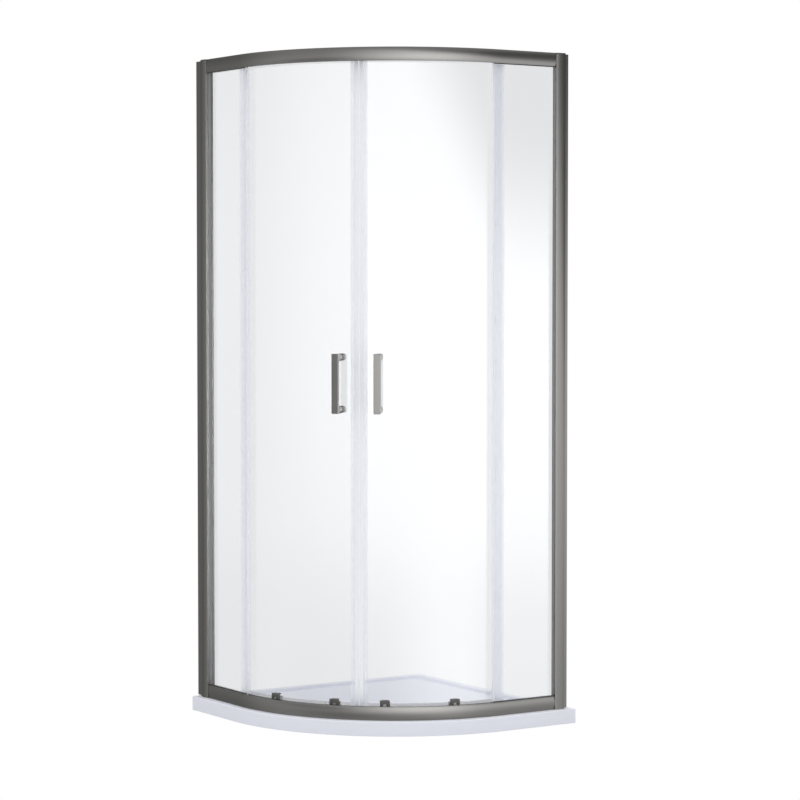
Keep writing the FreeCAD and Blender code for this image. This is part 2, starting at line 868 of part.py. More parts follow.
def make_trailing_seal(side):
    front = "(%s + seal_wall)" % GLASS_FACE
    rear = "(%s - seal_wall)" % GLASS_REAR
    fin = "(%s + seal_wall + trailing_fin)" % GLASS_FACE
    cover = less("door_end", arc_angle("trailing_cover"))
    tip = "(door_end + %s)" % arc_angle("seal_wall")
    foot = "(rail_height + strip_proud + fit_gap)"
    strip = [(rear, cover), (rear, tip), (fin, tip), (fin, "door_end"), (front, "door_end"),
             (front, cover), (GLASS_FACE, cover), (GLASS_FACE, "door_end"), (GLASS_REAR, "door_end"),
             (GLASS_REAR, cover)]
    keep(curved_upright("trailing_seal_" + side, side, [strip], foot, "frame_height - 2 * %s" % foot))


def make_bottom_seal(side):
    front = "%s + seal_wall" % GLASS_FACE
    rear = "%s - seal_wall" % GLASS_REAR
    foot = "door_foot - bottom_seal_web"
    top = "door_foot + bottom_seal_cover"
    clear = arc_angle("housing_width / 2 + 3 * fit_gap + seal_wall")
    spans = (
        (arc_angle("meeting_stem + seal_cover + fit_gap"), less("roller_inner", clear)),
        ("(roller_inner + %s)" % clear, less("roller_outer", clear)),
        ("(roller_outer + %s)" % clear, less("door_end", arc_angle("trailing_cover + fit_gap"))),
    )
    lengths = []
    for number, (start, end) in enumerate(spans):
        body = spoke_body("bottom_seal_%s_%d" % (side, number), side, start)
        section = new_sketch(body, "XZ_Plane")
        outline(section, [(rear, foot), (front, foot), (front, top), (GLASS_FACE, top),
                          (GLASS_FACE, "door_foot"), (GLASS_REAR, "door_foot"), (GLASS_REAR, top),
                          (rear, top)])
        revolve(body, section, less(end, start), reverse=side == "left")
        lengths.append(body)
    keep_group("bottom_seal_" + side, lengths)


# Handles: a flat bar on two round legs, drawn up against collars by studs from the round knobs on
# the inside of the glass.
HANDLE_FOOT = "(%s + collar_thick)" % GLASS_FACE


def handle_levels():
    return ["(handle_level + %d * handle_centres / 2)" % step for step in (-1, 1)]


def make_handle(side):
    body = spoke_body("handle_" + side, side, "handle_angle")
    bar_rear = "(%s + handle_reach - handle_thick)" % DOOR_OUT
    bar = new_sketch(body, "YZ_Plane", bar_rear)
    rectangle(bar, "-handle_width / 2", "handle_level - handle_length / 2",
              "handle_width / 2", "handle_level + handle_length / 2")
    pad(body, bar, "handle_thick")
    round_edges(body, "handle_edge", lambda edge: True)
    legs = new_sketch(body, "YZ_Plane", bar_rear)
    for level in handle_levels():
        circle(legs, "0", level, "leg_radius")
    pad(body, legs, less(bar_rear, HANDLE_FOOT), reverse=True)
    bores = new_sketch(body, "YZ_Plane", HANDLE_FOOT)
    for level in handle_levels():
        circle(bores, "0", level, "stud_radius + thread_gap")
    pocket(body, bores, "stud_bite + cut_over", reverse=True)
    keep(body)


def make_handle_fixings(side):
    collars = []
    studs = []
    knobs = []
    bore = "stud_radius + thread_gap"
    knob_end = "(%s - knob_length)" % GLASS_REAR
    bore_end = "(%s - stud_bite - cut_over)" % GLASS_REAR
    stud_ends = ("(%s - stud_bite)" % GLASS_REAR, "(%s + stud_bite)" % HANDLE_FOOT)
    for number, level in enumerate(handle_levels()):
        name = "_%s_%d" % (side, number)
        collars.append(spoke_turned("handle_collar" + name, side, "handle_angle", level, [
            (GLASS_FACE, "stud_radius + fit_gap"),
            (GLASS_FACE, "collar_radius"),
            (HANDLE_FOOT, "collar_radius"),
            (HANDLE_FOOT, "stud_radius + fit_gap"),
        ]))
        studs.append(spoke_turned("handle_stud" + name, side, "handle_angle", level, [
            (stud_ends[0], "0"),
            (stud_ends[0], "stud_radius"),
            (stud_ends[1], "stud_radius"),
            (stud_ends[1], "0"),
        ]))
        knobs.append(spoke_turned("handle_knob" + name, side, "handle_angle", level, [
            (GLASS_REAR, bore),
            (GLASS_REAR, "knob_radius"),
            (knob_end + " + knob_edge", "knob_radius", "knob_edge", 1),
            (knob_end, "knob_radius - knob_edge"),
            (knob_end, "0"),
            (bore_end, "0"),
            (bore_end, bore),
        ]))
    keep_group("handle_collars_" + side, collars)
    keep_group("handle_studs_" + side, studs)
    keep_group("handle_knobs_" + side, knobs)


# Rollers: plain wheels on axles with an end flange. The top wheels stand on the shelf of the top
# rail and hang the door; the bottom wheels run under the shelf of the bottom rail, behind its bead.
WHEEL_REAR = "(%s - wheel_width / 2)" % TRACK
WHEEL_FRONT = "(%s + wheel_width / 2)" % TRACK


def axle_profile(start):
    """Shoulder, bearing and end flange of an axle, from a distance outward."""
    tip = "(%s + wheel_play + flange_thick)" % WHEEL_FRONT
    return [
        (start, "axle_shoulder"),
        (WHEEL_REAR + " - wheel_play", "axle_shoulder"),
        (WHEEL_REAR + " - wheel_play", "axle_radius"),
        (WHEEL_FRONT + " + wheel_play", "axle_radius"),
        (WHEEL_FRONT + " + wheel_play", "axle_flange"),
        (tip, "axle_flange"),
        (tip, "0"),
    ]


def make_wheel(label, side, roller, level):
    bore = "axle_radius + wheel_play"
    keep(spoke_turned(label, side, ROLLER_ANGLE[roller], level, [
        (WHEEL_REAR, bore),
        (WHEEL_REAR, "wheel_radius - wheel_chamfer"),
        (WHEEL_REAR + " + wheel_chamfer", "wheel_radius"),
        (WHEEL_FRONT + " - wheel_chamfer", "wheel_radius"),
        (WHEEL_FRONT, "wheel_radius - wheel_chamfer"),
        (WHEEL_FRONT, bore),
    ]))


def make_top_bolts(side):
    bolts = []
    collar = "(%s + bolt_collar_thick)" % GLASS_FACE
    head = "(%s - bolt_head_thick)" % GLASS_REAR
    for roller in ROLLERS:
        label = "top_roller_bolt_%s_%s" % (side, roller)
        bolts.append(spoke_turned(label, side, ROLLER_ANGLE[roller], less("frame_height", AXLE), [
            (head, "0"),
            (head, "bolt_head - bolt_head_thick / 2"),
            (head + " + bolt_head_thick / 2", "bolt_head"),
            (GLASS_REAR, "bolt_head"),
            (GLASS_REAR, "bolt_shank"),
            (GLASS_FACE, "bolt_shank"),
            (GLASS_FACE, "bolt_collar"),
            (collar, "bolt_collar"),
        ] + axle_profile(collar)))
    keep_group("top_roller_bolts_" + side, bolts)


# Bottom rollers: a housing clamped round the foot of the glass, and in it a sprung slider that
# carries the wheel. Pressing the slider's button drops the wheel clear of the bead, so that the foot
# of the door can be swung in for cleaning.
SAG = "(housing_width ^ 2 / 8 / %s)" % DOOR_IN
BACK_FRONT = "(%s - %s)" % (GLASS_REAR, SAG)
BACK_REAR = "(%s - housing_back)" % BACK_FRONT
CAP_FRONT = "(%s + housing_cap)" % GLASS_FACE
SLIDER_FRONT = "(%s - slider_inset)" % FRAME
SLIDER_REAR = "(%s - slider_thick)" % SLIDER_FRONT
WINDOW_FOOT = "(%s - clamp_radius - fit_gap)" % CLAMP
WINDOW_TOP = "(%s + clamp_radius + coil_length)" % CLAMP


def make_housing(side, roller):
    body = spoke_body("roller_housing_%s_%s" % (side, roller), side, ROLLER_ANGLE[roller])
    section = new_sketch(body, "XZ_Plane")
    foot = "door_foot - housing_sole"
    cap_top = "door_foot + housing_rise"
    shelf = "door_foot + housing_shelf"
    seat = "door_foot - fit_gap"
    outline(section, [(BACK_REAR, foot), (CAP_FRONT, foot), (CAP_FRONT, cap_top), (GLASS_FACE, cap_top),
                      (GLASS_FACE, seat), (BACK_FRONT, seat), (BACK_FRONT, shelf), (BACK_REAR, shelf)])
    pad(body, section, "housing_width", symmetric=True)
    face = value(CAP_FRONT)
    round_edges(body, "housing_round", lambda edge: edge.BoundBox.XMin > face - 0.01)
    slot = new_sketch(body, "XY_Plane")
    rectangle(slot, SLIDER_REAR + " - fit_gap", "-slider_width / 2 - fit_gap",
              SLIDER_FRONT + " + fit_gap", "slider_width / 2 + fit_gap")
    pocket(body, slot, reverse=True)
    bore = new_sketch(body, "YZ_Plane")
    circle(bore, "0", CLAMP, "clamp_radius + thread_gap")
    pocket(body, bore, reverse=True)
    recess = new_sketch(body, "YZ_Plane", CAP_FRONT)
    circle(recess, "0", CLAMP, "clamp_head + fit_gap")
    pocket(body, recess, "clamp_head_thick")
    return body


def make_housing_screw(side, roller):
    end = BACK_REAR + " + cut_over"
    seat = CAP_FRONT + " - clamp_head_thick"
    return spoke_turned("housing_screw_%s_%s" % (side, roller), side, ROLLER_ANGLE[roller], CLAMP, [
        (end, "0"),
        (end, "clamp_radius"),
        (seat, "clamp_radius"),
        (seat, "clamp_head"),
        (CAP_FRONT, "clamp_head"),
        (CAP_FRONT, "0"),
    ])


def make_slider(side, roller):
    body = spoke_body("roller_slider_%s_%s" % (side, roller), side, ROLLER_ANGLE[roller], AXLE)
    plate = new_sketch(body, "XZ_Plane")
    head = "(%s + slider_bridge - %s)" % (WINDOW_TOP, AXLE)
    rectangle(plate, SLIDER_REAR, "-slider_chin", SLIDER_FRONT, head)
    pad(body, plate, "slider_width", symmetric=True)
    window = new_sketch(body, "YZ_Plane")
    rectangle(window, "-window_width / 2", less(WINDOW_FOOT, AXLE), "window_width / 2",
              less(WINDOW_TOP, AXLE))
    pocket(body, window, reverse=True)
    button = new_sketch(body, "XY_Plane", head)
    middle = "(%s + slider_thick / 2)" % SLIDER_REAR
    rectangle(button, middle + " - button_depth / 2", "-button_width / 2",
              middle + " + button_depth / 2", "button_width / 2")
    pad(body, button, "button_thick")
    top = value(head + " + button_thick")
    round_edges(body, "button_edge", lambda edge: edge.BoundBox.ZMin > top - 0.01)
    axle = new_sketch(body, "XY_Plane")
    outline(axle, [(SLIDER_FRONT, "0")] + axle_profile(SLIDER_FRONT))
    revolve(body, axle, "360", "X_Axis")
    keep(body)


def make_spring(side, roller):
    """A coil in the slider's window, between the clamp screw and the top of the window."""
    foot = value("coil_wire + thread_gap")
    top = value("coil_length - coil_wire - thread_gap")
    radius = value("coil_radius")
    wire = value("coil_wire")
    halves = int(2 * value("coil_turns"))
    rise = (top - foot) / halves

    def spot(half_turns):
        angle = math.pi * half_turns
        return V(radius * math.cos(angle), radius * math.sin(angle), foot + rise * half_turns)

    path = Part.Wire([Part.Arc(spot(half), spot(half + 0.5), spot(half + 1)).toShape()
                      for half in range(halves)])
    section = Part.Wire(Part.Circle(spot(0), V(0, 1, 0), wire).toShape())
    shell = Part.BRepOffsetAPI.MakePipeShell(path)
    shell.add(section)
    shell.build()
    shell.makeSolid()
    spring = doc.addObject("Part::Feature", "release_spring_%s_%s" % (side, roller))
    spring.Label = "release_spring_%s_%s" % (side, roller)
    spring.Shape = shell.shape()
    spoke = heading(side, ROLLER_ANGLE[roller])
    middle = "(%s + slider_thick / 2)" % SLIDER_REAR
    place(spring, "%s + %s * cos(%s)" % (CENTRE_X, middle, spoke),
          "%s + %s * sin(%s)" % (CENTRE_Y, middle, spoke),
          "tray_height + %s + clamp_radius" % CLAMP, spoke)
    steps = 12
    points = [spot(number / steps) for number in range(halves * steps + 1)]
    gap = min((far - near).Length for number, near in enumerate(points)
              for far in points[number + steps:]) - 2 * wire
    print("%s: least gap between turns %.2f mm" % (spring.Label, gap))
    keep(spring)


def make_door(side):
    make_door_glass(side)
    make_meeting_seal(side)
    make_trailing_seal(side)
    make_bottom_seal(side)
    make_handle(side)
    make_handle_fixings(side)
    make_top_bolts(side)
    keep_group("roller_housings_" + side, [make_housing(side, roller) for roller in ROLLERS])
    keep_group("housing_screws_" + side, [make_housing_screw(side, roller) for roller in ROLLERS])
    for roller in ROLLERS:
        make_slider(side, roller)
        make_spring(side, roller)
        make_wheel("bottom_wheel_%s_%s" % (side, roller), side, roller, AXLE)
        make_wheel("top_wheel_%s_%s" % (side, roller), side, roller, less("frame_height", AXLE))


make_tray()
make_rail("bottom_rail", "tray_height", False)
make_rail("top_rail", "tray_height + frame_height", True)
for side in SIDES:
    make_wall_profile(side)
    make_post(side)
    make_fixed_pane(side)
keep_group("post_caps", [make_cap(side) for side in SIDES])
make_glazing_strips()
make_screws()
make_stops()
for side in SIDES:
    make_door(side)

doc.recompute()
faults = [thing.Label for thing in doc.Objects if "Invalid" in thing.State or "Error" in thing.State]
faults += [part.Label for part in parts if part.Shape.isNull() or not part.Shape.isValid()]
if faults:
    raise RuntimeError("These objects failed: " + ", ".join(faults))
os.makedirs("parts", exist_ok=True)
for part in parts:
    part.Shape.exportStep("parts/%s.step" % part.Label)
print("%d pieces written" % len(parts))
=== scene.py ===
import json
import math

import bmesh
import bpy
from mathutils import Matrix, Vector


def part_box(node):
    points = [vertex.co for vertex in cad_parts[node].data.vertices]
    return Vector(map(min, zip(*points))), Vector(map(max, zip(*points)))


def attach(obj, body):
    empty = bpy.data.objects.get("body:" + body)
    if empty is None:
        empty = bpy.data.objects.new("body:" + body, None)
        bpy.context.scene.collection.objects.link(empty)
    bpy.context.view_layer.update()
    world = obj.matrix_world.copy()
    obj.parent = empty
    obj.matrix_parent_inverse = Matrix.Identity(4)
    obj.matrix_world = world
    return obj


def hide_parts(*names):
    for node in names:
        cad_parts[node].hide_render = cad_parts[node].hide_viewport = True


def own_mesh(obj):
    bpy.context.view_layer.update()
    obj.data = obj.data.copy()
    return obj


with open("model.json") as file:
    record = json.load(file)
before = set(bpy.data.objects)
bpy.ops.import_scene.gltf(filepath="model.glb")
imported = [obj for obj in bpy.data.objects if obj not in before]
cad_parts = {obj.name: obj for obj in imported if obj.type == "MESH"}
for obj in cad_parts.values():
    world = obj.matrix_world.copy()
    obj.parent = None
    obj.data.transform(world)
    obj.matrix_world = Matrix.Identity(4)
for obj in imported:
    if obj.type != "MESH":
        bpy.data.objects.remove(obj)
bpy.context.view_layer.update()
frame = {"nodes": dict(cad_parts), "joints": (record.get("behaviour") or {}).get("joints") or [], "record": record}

# Tray: one low slab cast in resin under a satin white gel coat. It lies on the floor, its rim
# carries the frame, and the basin inside the rim falls to a waste hole near the curve.
MM = 0.001
CREASE = math.radians(28)


def named(rows, name):
    """The row of the frame's joints or mounts that has this name."""
    return next(row for row in rows if row["name"] == name)


CURVE = Vector(named(frame["joints"], "right_door_slide")["pos_m"])
tray_low, tray_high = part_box("tray")
waste = named(frame["record"]["mounts"], "waste_hole")
WASTE = Vector(waste["pos_m"])
WASTE_BORE = waste["dims"]["r_mm"] * MM
TRAY_CORNER = 4 * MM
TRAY_EDGE = 3 * MM
TRAY_SOLE = 30 * MM
WALL_RIM = 25 * MM
FRONT_RIM = 75 * MM
BASIN_DEPTH = 10 * MM
BASIN_SLOPE = 3 * MM
BASIN_CORNER = 30 * MM
BASIN_MARGIN = 16 * MM
RIM_ROUND = 2 * MM
MOUTH_ROUND = 1 * MM
FALL_RADIUS = 100 * MM
FALL_DEPTH = 4 * MM
ARC_STEPS = 72
CORNER_STEPS = 6
ROUND_STEPS = 4


def only(kind, geom):
    """The vertices, or the edges, among an operator's results."""
    return [part for part in geom if isinstance(part, kind)]


def edges_of(verts):
    return list({edge: None for vert in verts for edge in vert.link_edges})


class Pen:
    """Draws a closed section line: straight runs extrude the last vertex, arcs spin it."""

    def __init__(self, bm, start, axis=(0, 0, 1)):
        self.bm = bm
        self.axis = axis
        self.drawn_before = set(bm.edges)
        self.first = bmesh.ops.create_vert(bm, co=start)["vert"][0]
        self.tip = self.first

    def line(self, *points):
        for point in points:
            self.tip = bmesh.ops.extrude_vert_indiv(self.bm, verts=[self.tip])["verts"][0]
            self.tip.co = point
        return self

    def arc(self, centre, angle, steps):
        spun = bmesh.ops.spin(self.bm, geom=[self.tip], cent=centre, axis=self.axis, angle=angle,
                              steps=steps, use_merge=False, use_duplicate=False)
        self.tip = only(bmesh.types.BMVert, spun["geom_last"])[0]
        return self

    def edges(self):
        return [edge for edge in self.bm.edges if edge not in self.drawn_before]

    def close(self, corner=0, segments=2):
        """Joins the end to the start, rounds the sharp corners and returns the loop's edges."""
        self.bm.edges.new((self.tip, self.first))
        sharp = []
        for vert in {vert: None for edge in self.edges() for vert in edge.verts}:
            arms = [edge.other_vert(vert).co - vert.co for edge in vert.link_edges]
            if arms[0].angle(-arms[1]) > CREASE:
                sharp.append(vert)
        if corner:
            bmesh.ops.bevel(self.bm, geom=sharp, affect="VERTICES", offset=corner, segments=segments,
                            profile=0.5, material=-1, clamp_overlap=True)
        return self.edges()


def tray_line(bm, wall, front, corner, level):
    """The tray's plan outline, set in from its wall sides and from its front."""
    left = tray_low.x + wall
    back = tray_high.y - wall
    near = tray_low.y + front
    right = tray_high.x - front
    turn = math.pi / 2
    pen = Pen(bm, (left, near + corner, level))
    pen.arc((left + corner, near + corner, level), turn, CORNER_STEPS)
    pen.line((CURVE.x, near, level))
    pen.arc((CURVE.x, CURVE.y, level), turn, ARC_STEPS)
    pen.line((right, back - corner, level))
    pen.arc((right - corner, back - corner, level), turn, CORNER_STEPS)
    pen.line((left + corner, back, level))
    pen.arc((left + corner, back - corner, level), turn, CORNER_STEPS)
    return pen.close()


def round_edges(bm, edges, radius, segments=2):
    bmesh.ops.bevel(bm, geom=edges, affect="EDGES", offset=radius, segments=segments, profile=0.5,
                    material=-1, clamp_overlap=True)


def circle_line(bm, radius, place):
    """A circle in the piece's own XY plane, set in place."""
    verts = bmesh.ops.create_circle(bm, radius=radius, segments=ARC_STEPS)["verts"]
    bmesh.ops.transform(bm, matrix=place, verts=verts)
    return edges_of(verts)


def settle_shading(piece):
    """Smooth shading with crisp corners, in which wide faces stay flat beside their rounded edges."""
    piece.data.shade_smooth()
    piece.data.set_sharp_from_angle(angle=CREASE)
    piece.modifiers.new("flat_faces", "WEIGHTED_NORMAL").keep_sharp = True


def link_mesh(name, bm, finish):
    """Puts a mesh in the scene, as an object with this finish."""
    mesh = bpy.data.meshes.new(name)
    bm.to_mesh(mesh)
    bm.free()
    mesh.materials.append(finish)
    made = bpy.data.objects.new(name, mesh)
    bpy.context.scene.collection.objects.link(made)
    return made


def add_piece(name, bm, finish, body, slot, *nodes):
    """Finishes a mesh as a piece: outward faces, crisp corners, its finish and the body it is on."""
    bmesh.ops.recalc_face_normals(bm, faces=bm.faces)
    piece = link_mesh(name, bm, finish)
    settle_shading(piece)
    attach(piece, body)
    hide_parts(*nodes)
    return piece


class Ink:
    """A socket of a node tree, so that shader maths is written as Python expressions."""

    def __init__(self, tree, socket=None):
        self.tree = tree
        self.socket = socket

    def feed(self, node, values):
        for name, value in values.items():
            if isinstance(value, Ink):
                self.tree.links.new(value.socket, node.inputs[name])
            else:
                node.inputs[name].default_value = value

    def node(self, kind, settings, values, output=0):
        """Adds a node: its settings first, then a value or a link on each named socket."""
        made = self.tree.nodes.new("ShaderNode" + kind)
        for name, setting in settings.items():
            setattr(made, name, setting)
        self.feed(made, values)
        return Ink(self.tree, made.outputs[output])

    def beside(self, output):
        """Another output of the node that this socket is on."""
        return Ink(self.tree, self.socket.node.outputs[output])

    def math(self, operation, first, second):
        return self.node("Math", {"operation": operation}, {0: first, 1: second})

    def __add__(self, other):
        return self.math("ADD", self, other)

    def __sub__(self, other):
        return self.math("SUBTRACT", self, other)

    def __rsub__(self, other):
        return self.math("SUBTRACT", other, self)

    def __mul__(self, other):
        return self.math("MULTIPLY", self, other)

    __radd__ = __add__
    __rmul__ = __mul__


class Finish:
    """A material's shader, with the noise, colour and bump that the finishes here are mixed from."""

    def __init__(self, name):
        self.material = bpy.data.materials.new(name)
        self.material.use_nodes = True
        self.shader = self.material.node_tree.nodes["Principled BSDF"]
        self.ink = Ink(self.material.node_tree)
        self.spot = self.ink.node("TexCoord", {}, {}, "Object")

    def noise(self, scale, detail=2.0, stretch=(1, 1, 1)):
        """Noise between 0 and 1, with this many waves to the metre, drawn out along an axis."""
        where = self.ink.node("Mapping", {}, {"Vector": self.spot, "Scale": stretch})
        return self.ink.node("TexNoise", {}, {"Vector": where, "Scale": scale, "Detail": detail})

    def between(self, share, first, second):
        """A colour between two, by a share."""
        return self.ink.node("Mix", {"data_type": "RGBA"},
                             {0: share, 6: (*first, 1), 7: (*second, 1)}, 2)

    def bump(self, height, strength, depth):
        return self.ink.node("Bump", {}, {"Height": height, "Strength": strength, "Distance": depth})

    def set(self, **values):
        """Sets the shader's sockets, whose names are written with underscores."""
        self.ink.feed(self.shader, {name.replace("_", " "): value for name, value in values.items()})
        return self.material


coat = Finish("gel_coat")
gel_coat = coat.set(
    Base_Color=coat.between(coat.noise(3.0), (0.74, 0.755, 0.83), (0.775, 0.79, 0.855)),
    Roughness=0.38 + 0.12 * coat.noise(40.0),
    Specular_IOR_Level=0.25,
    Normal=coat.bump(coat.noise(260.0), 0.06, 0.2 * MM))

bm = bmesh.new()
floor_level = tray_high.z - BASIN_DEPTH
sole = tray_line(bm, TRAY_SOLE, TRAY_SOLE, TRAY_CORNER, tray_low.z)
foot = tray_line(bm, 0, 0, TRAY_CORNER, tray_low.z)
brow = tray_line(bm, 0, 0, TRAY_CORNER, tray_high.z)
brim = tray_line(bm, WALL_RIM, FRONT_RIM, BASIN_CORNER, tray_high.z)
slope_foot = tray_line(bm, WALL_RIM + BASIN_SLOPE, FRONT_RIM + BASIN_SLOPE, BASIN_CORNER, floor_level)
basin = tray_line(bm, WALL_RIM + BASIN_MARGIN, FRONT_RIM + BASIN_MARGIN, BASIN_CORNER, floor_level)
rings = (sole, foot, brow, brim, slope_foot, basin)
for outer, inner in zip(rings, rings[1:]):
    bmesh.ops.bridge_loops(bm, edges=outer + inner)
fall = circle_line(bm, FALL_RADIUS, Matrix.Translation((WASTE.x, WASTE.y, floor_level)))
mouth = circle_line(bm, WASTE_BORE, Matrix.Translation((WASTE.x, WASTE.y, floor_level - FALL_DEPTH)))
outlet = circle_line(bm, WASTE_BORE, Matrix.Translation((WASTE.x, WASTE.y, tray_low.z)))
bmesh.ops.bridge_loops(bm, edges=fall + mouth)
bmesh.ops.bridge_loops(bm, edges=mouth + outlet)
bmesh.ops.triangle_fill(bm, use_beauty=True, edges=basin + fall)
bmesh.ops.triangle_fill(bm, use_beauty=True, edges=sole + outlet)
round_edges(bm, brow, TRAY_EDGE, ROUND_STEPS)
round_edges(bm, brim, RIM_ROUND, ROUND_STEPS)
round_edges(bm, slope_foot, RIM_ROUND, ROUND_STEPS)
round_edges(bm, mouth, MOUTH_ROUND)
tray = add_piece("tray_casting", bm, gel_coat, "frame", "tray_resin", "tray")
tray.visible_glossy = False

# Rails: one aluminium extrusion bent to the quadrant and anodised a satin gunmetal. The same piece
# lies web down on the tray and, turned over, web up across the top; screws hold it to the posts.
rail_low, rail_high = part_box("bottom_rail")
top_rail_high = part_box("top_rail")[1]
FACE = rail_high.x - CURVE.x
RUN = rail_high.y - CURVE.y
RAIL_HEIGHT = rail_high.z - rail_low.z
RAIL_SETBACK = 3 * MM
RAIL_BULGE = 4 * MM
RAIL_WALL = 2 * MM
SHELF = 20 * MM
BEAD = 16.5 * MM
RIB = 26.5 * MM
RIB_TOP = 36 * MM
PORT = 8 * MM
PORT_RIM = 3 * MM
BOSS = 9.25 * MM
RAIL_CORNER = 0.45 * MM
RAIL_GRAIN = (6, 6, 2600)
GUNMETAL_DARK = (0.184, 0.181, 0.174)
GUNMETAL_LIGHT = (0.21, 0.207, 0.2)
NOSE_STEPS = 20
NOSE = (RAIL_HEIGHT ** 2 / 4 + RAIL_BULGE ** 2) / (2 * RAIL_BULGE)
NOSE_CENTRE = Vector((FACE - RAIL_SETBACK - NOSE, 0, RAIL_HEIGHT / 2))


def anodised(name, grain):
    """Satin gunmetal with the fine drawn lines of an extrusion, which are thin across its grain."""
    metal = Finish(name)
    lines = metal.noise(1.0, 3.0, grain)
    cloud = metal.noise(9.0)
    return metal.set(
        Base_Color=metal.between(0.6 * lines + 0.4 * cloud, GUNMETAL_DARK, GUNMETAL_LIGHT),
        Metallic=1.0,
        Roughness=0.25 + 0.12 * lines + 0.05 * cloud,
        Normal=metal.bump(lines, 0.12, 0.05 * MM))


def rail_point(inset, level):
    return Vector((FACE - inset, 0, level))


def nose_angle(level):
    """Angle of the fascia's inner face at a level, about the centre of its arc."""
    return math.asin((level - RAIL_HEIGHT / 2) / (NOSE - RAIL_WALL))


def nose_point(level):
    turn = nose_angle(level)
    return NOSE_CENTRE + (NOSE - RAIL_WALL) * Vector((math.cos(turn), 0, math.sin(turn)))


def behind_nose(pen, start, end, steps):
    """Follows the fascia's inner face from one level to another."""
    pen.arc(NOSE_CENTRE, nose_angle(end) - nose_angle(start), steps)


def screw_boss(pen, port):
    """Follows the boss round a screw port, down to the fascia again."""
    pen.line(rail_point(BOSS, port + PORT_RIM), rail_point(BOSS, port - PORT_RIM),
             nose_point(port - PORT_RIM))


def extrude_loop(bm, edges, offset):
    """Draws a loop out along a straight line and returns the loop at its far end."""
    grown = bmesh.ops.extrude_edge_only(bm, edges=edges)["geom"]
    bmesh.ops.translate(bm, vec=offset, verts=only(bmesh.types.BMVert, grown))
    return only(bmesh.types.BMEdge, grown)


def spin_loop(bm, edges, angle, steps, climb=0):
    """Draws a loop round the Z axis, with any climb at each step, and returns the loop at its far end."""
    verts = list({vert: None for edge in edges for vert in edge.verts})
    spun = bmesh.ops.spin(bm, geom=verts + edges, cent=(0, 0, 0), axis=(0, 0, 1), dvec=(0, 0, climb),
                          angle=angle, steps=steps, use_merge=False, use_duplicate=False)
    return only(bmesh.types.BMEdge, spun["geom_last"])


def close_ends(bm, *loops):
    for loop in loops:
        bmesh.ops.edgeloop_fill(bm, edges=loop)


bm = bmesh.new()
upright = (0, -1, 0)
far_port = RAIL_HEIGHT - PORT
shelf_top = SHELF + RAIL_WALL
pen = Pen(bm, rail_point(RAIL_SETBACK + RAIL_BULGE, 0), upright)
pen.arc(NOSE_CENTRE, 2 * math.asin(RAIL_HEIGHT / 2 / NOSE), NOSE_STEPS)
pen.line(nose_point(RAIL_HEIGHT))
behind_nose(pen, RAIL_HEIGHT, far_port + PORT_RIM, 3)
screw_boss(pen, far_port)
behind_nose(pen, far_port - PORT_RIM, shelf_top, 3)
pen.line(rail_point(RIB, shelf_top), rail_point(RIB, RIB_TOP), rail_point(RIB + RAIL_WALL, RIB_TOP),
         rail_point(RIB + RAIL_WALL, BEAD), rail_point(RIB, BEAD), rail_point(RIB, SHELF),
         nose_point(SHELF))
behind_nose(pen, SHELF, PORT + PORT_RIM, 4)
screw_boss(pen, PORT)
behind_nose(pen, PORT - PORT_RIM, RAIL_WALL, 2)
pen.line(rail_point(RIB + RAIL_WALL, RAIL_WALL), rail_point(RIB + RAIL_WALL, 0))
near_end = pen.close(RAIL_CORNER)
bmesh.ops.translate(bm, vec=(0, RUN, 0), verts=bm.verts)
bend_start = extrude_loop(bm, near_end, (0, -RUN, 0))
bend_end = spin_loop(bm, bend_start, -math.pi / 2, ARC_STEPS)
far_end = extrude_loop(bm, bend_end, (-RUN, 0, 0))
close_ends(bm, near_end, far_end)
rail_metal = anodised("rail_gunmetal", RAIL_GRAIN)
turned_over = Matrix.Diagonal((1, 1, -1, 1))
for rail, place in (("bottom_rail", Matrix.Translation((CURVE.x, CURVE.y, rail_low.z))),
                    ("top_rail", Matrix.Translation((CURVE.x, CURVE.y, top_rail_high.z)) @ turned_over)):
    copy = bm.copy()
    bmesh.ops.transform(copy, matrix=place, verts=copy.verts)
    add_piece(rail + "_extrusion", copy, rail_metal, "frame", "gunmetal", rail)
bm.free()

# Posts: thin-walled uprights in the same gunmetal, with a slightly crowned face, an open back and,
# towards the pane, a glazing groove whose inner jaw stands back out of sight. They slide over the wall
# profiles and are locked by small screws.
post_low, post_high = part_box("post_right")
POST_END = post_high.y - CURVE.y
POST_WIDTH = post_high.y - post_low.y
POST_DEPTH = post_high.x - post_low.x
POST_BULGE = 2 * MM
POST_WALL = 1.8 * MM
GROOVE_FRONT = 10.5 * MM
GROOVE_BACK = 27.5 * MM
GROOVE_DEPTH = 12 * MM
JAW_SETBACK = 9 * MM
POST_CORNER = 0.6 * MM
POST_GRAIN = (2600, 2600, 6)
CROWN_STEPS = 16
CROWN = (POST_WIDTH ** 2 / 4 + POST_BULGE ** 2) / (2 * POST_BULGE)
CROWN_TURN = 2 * math.asin(POST_WIDTH / 2 / CROWN)
CROWN_CENTRE = Vector((FACE - CROWN, RUN + POST_WIDTH / 2, 0))
across = Matrix(((0, -1, 0, 0), (-1, 0, 0, 0), (0, 0, 1, 0), (0, 0, 0, 1)))
SIDES = {"right": Matrix.Translation((CURVE.x, CURVE.y, 0)),
         "left": Matrix.Translation((CURVE.x, CURVE.y, 0)) @ across}


def run_point(inset, along, level=0):
    """A point on the right-hand straight run: in from the rails' face, and along from the curve."""
    return Vector((FACE - inset, along, level))


def run_line(pen, level, corners):
    """Follows (inset, along) corners of the right-hand straight run."""
    pen.line(*[run_point(inset, along, level) for inset, along in corners])


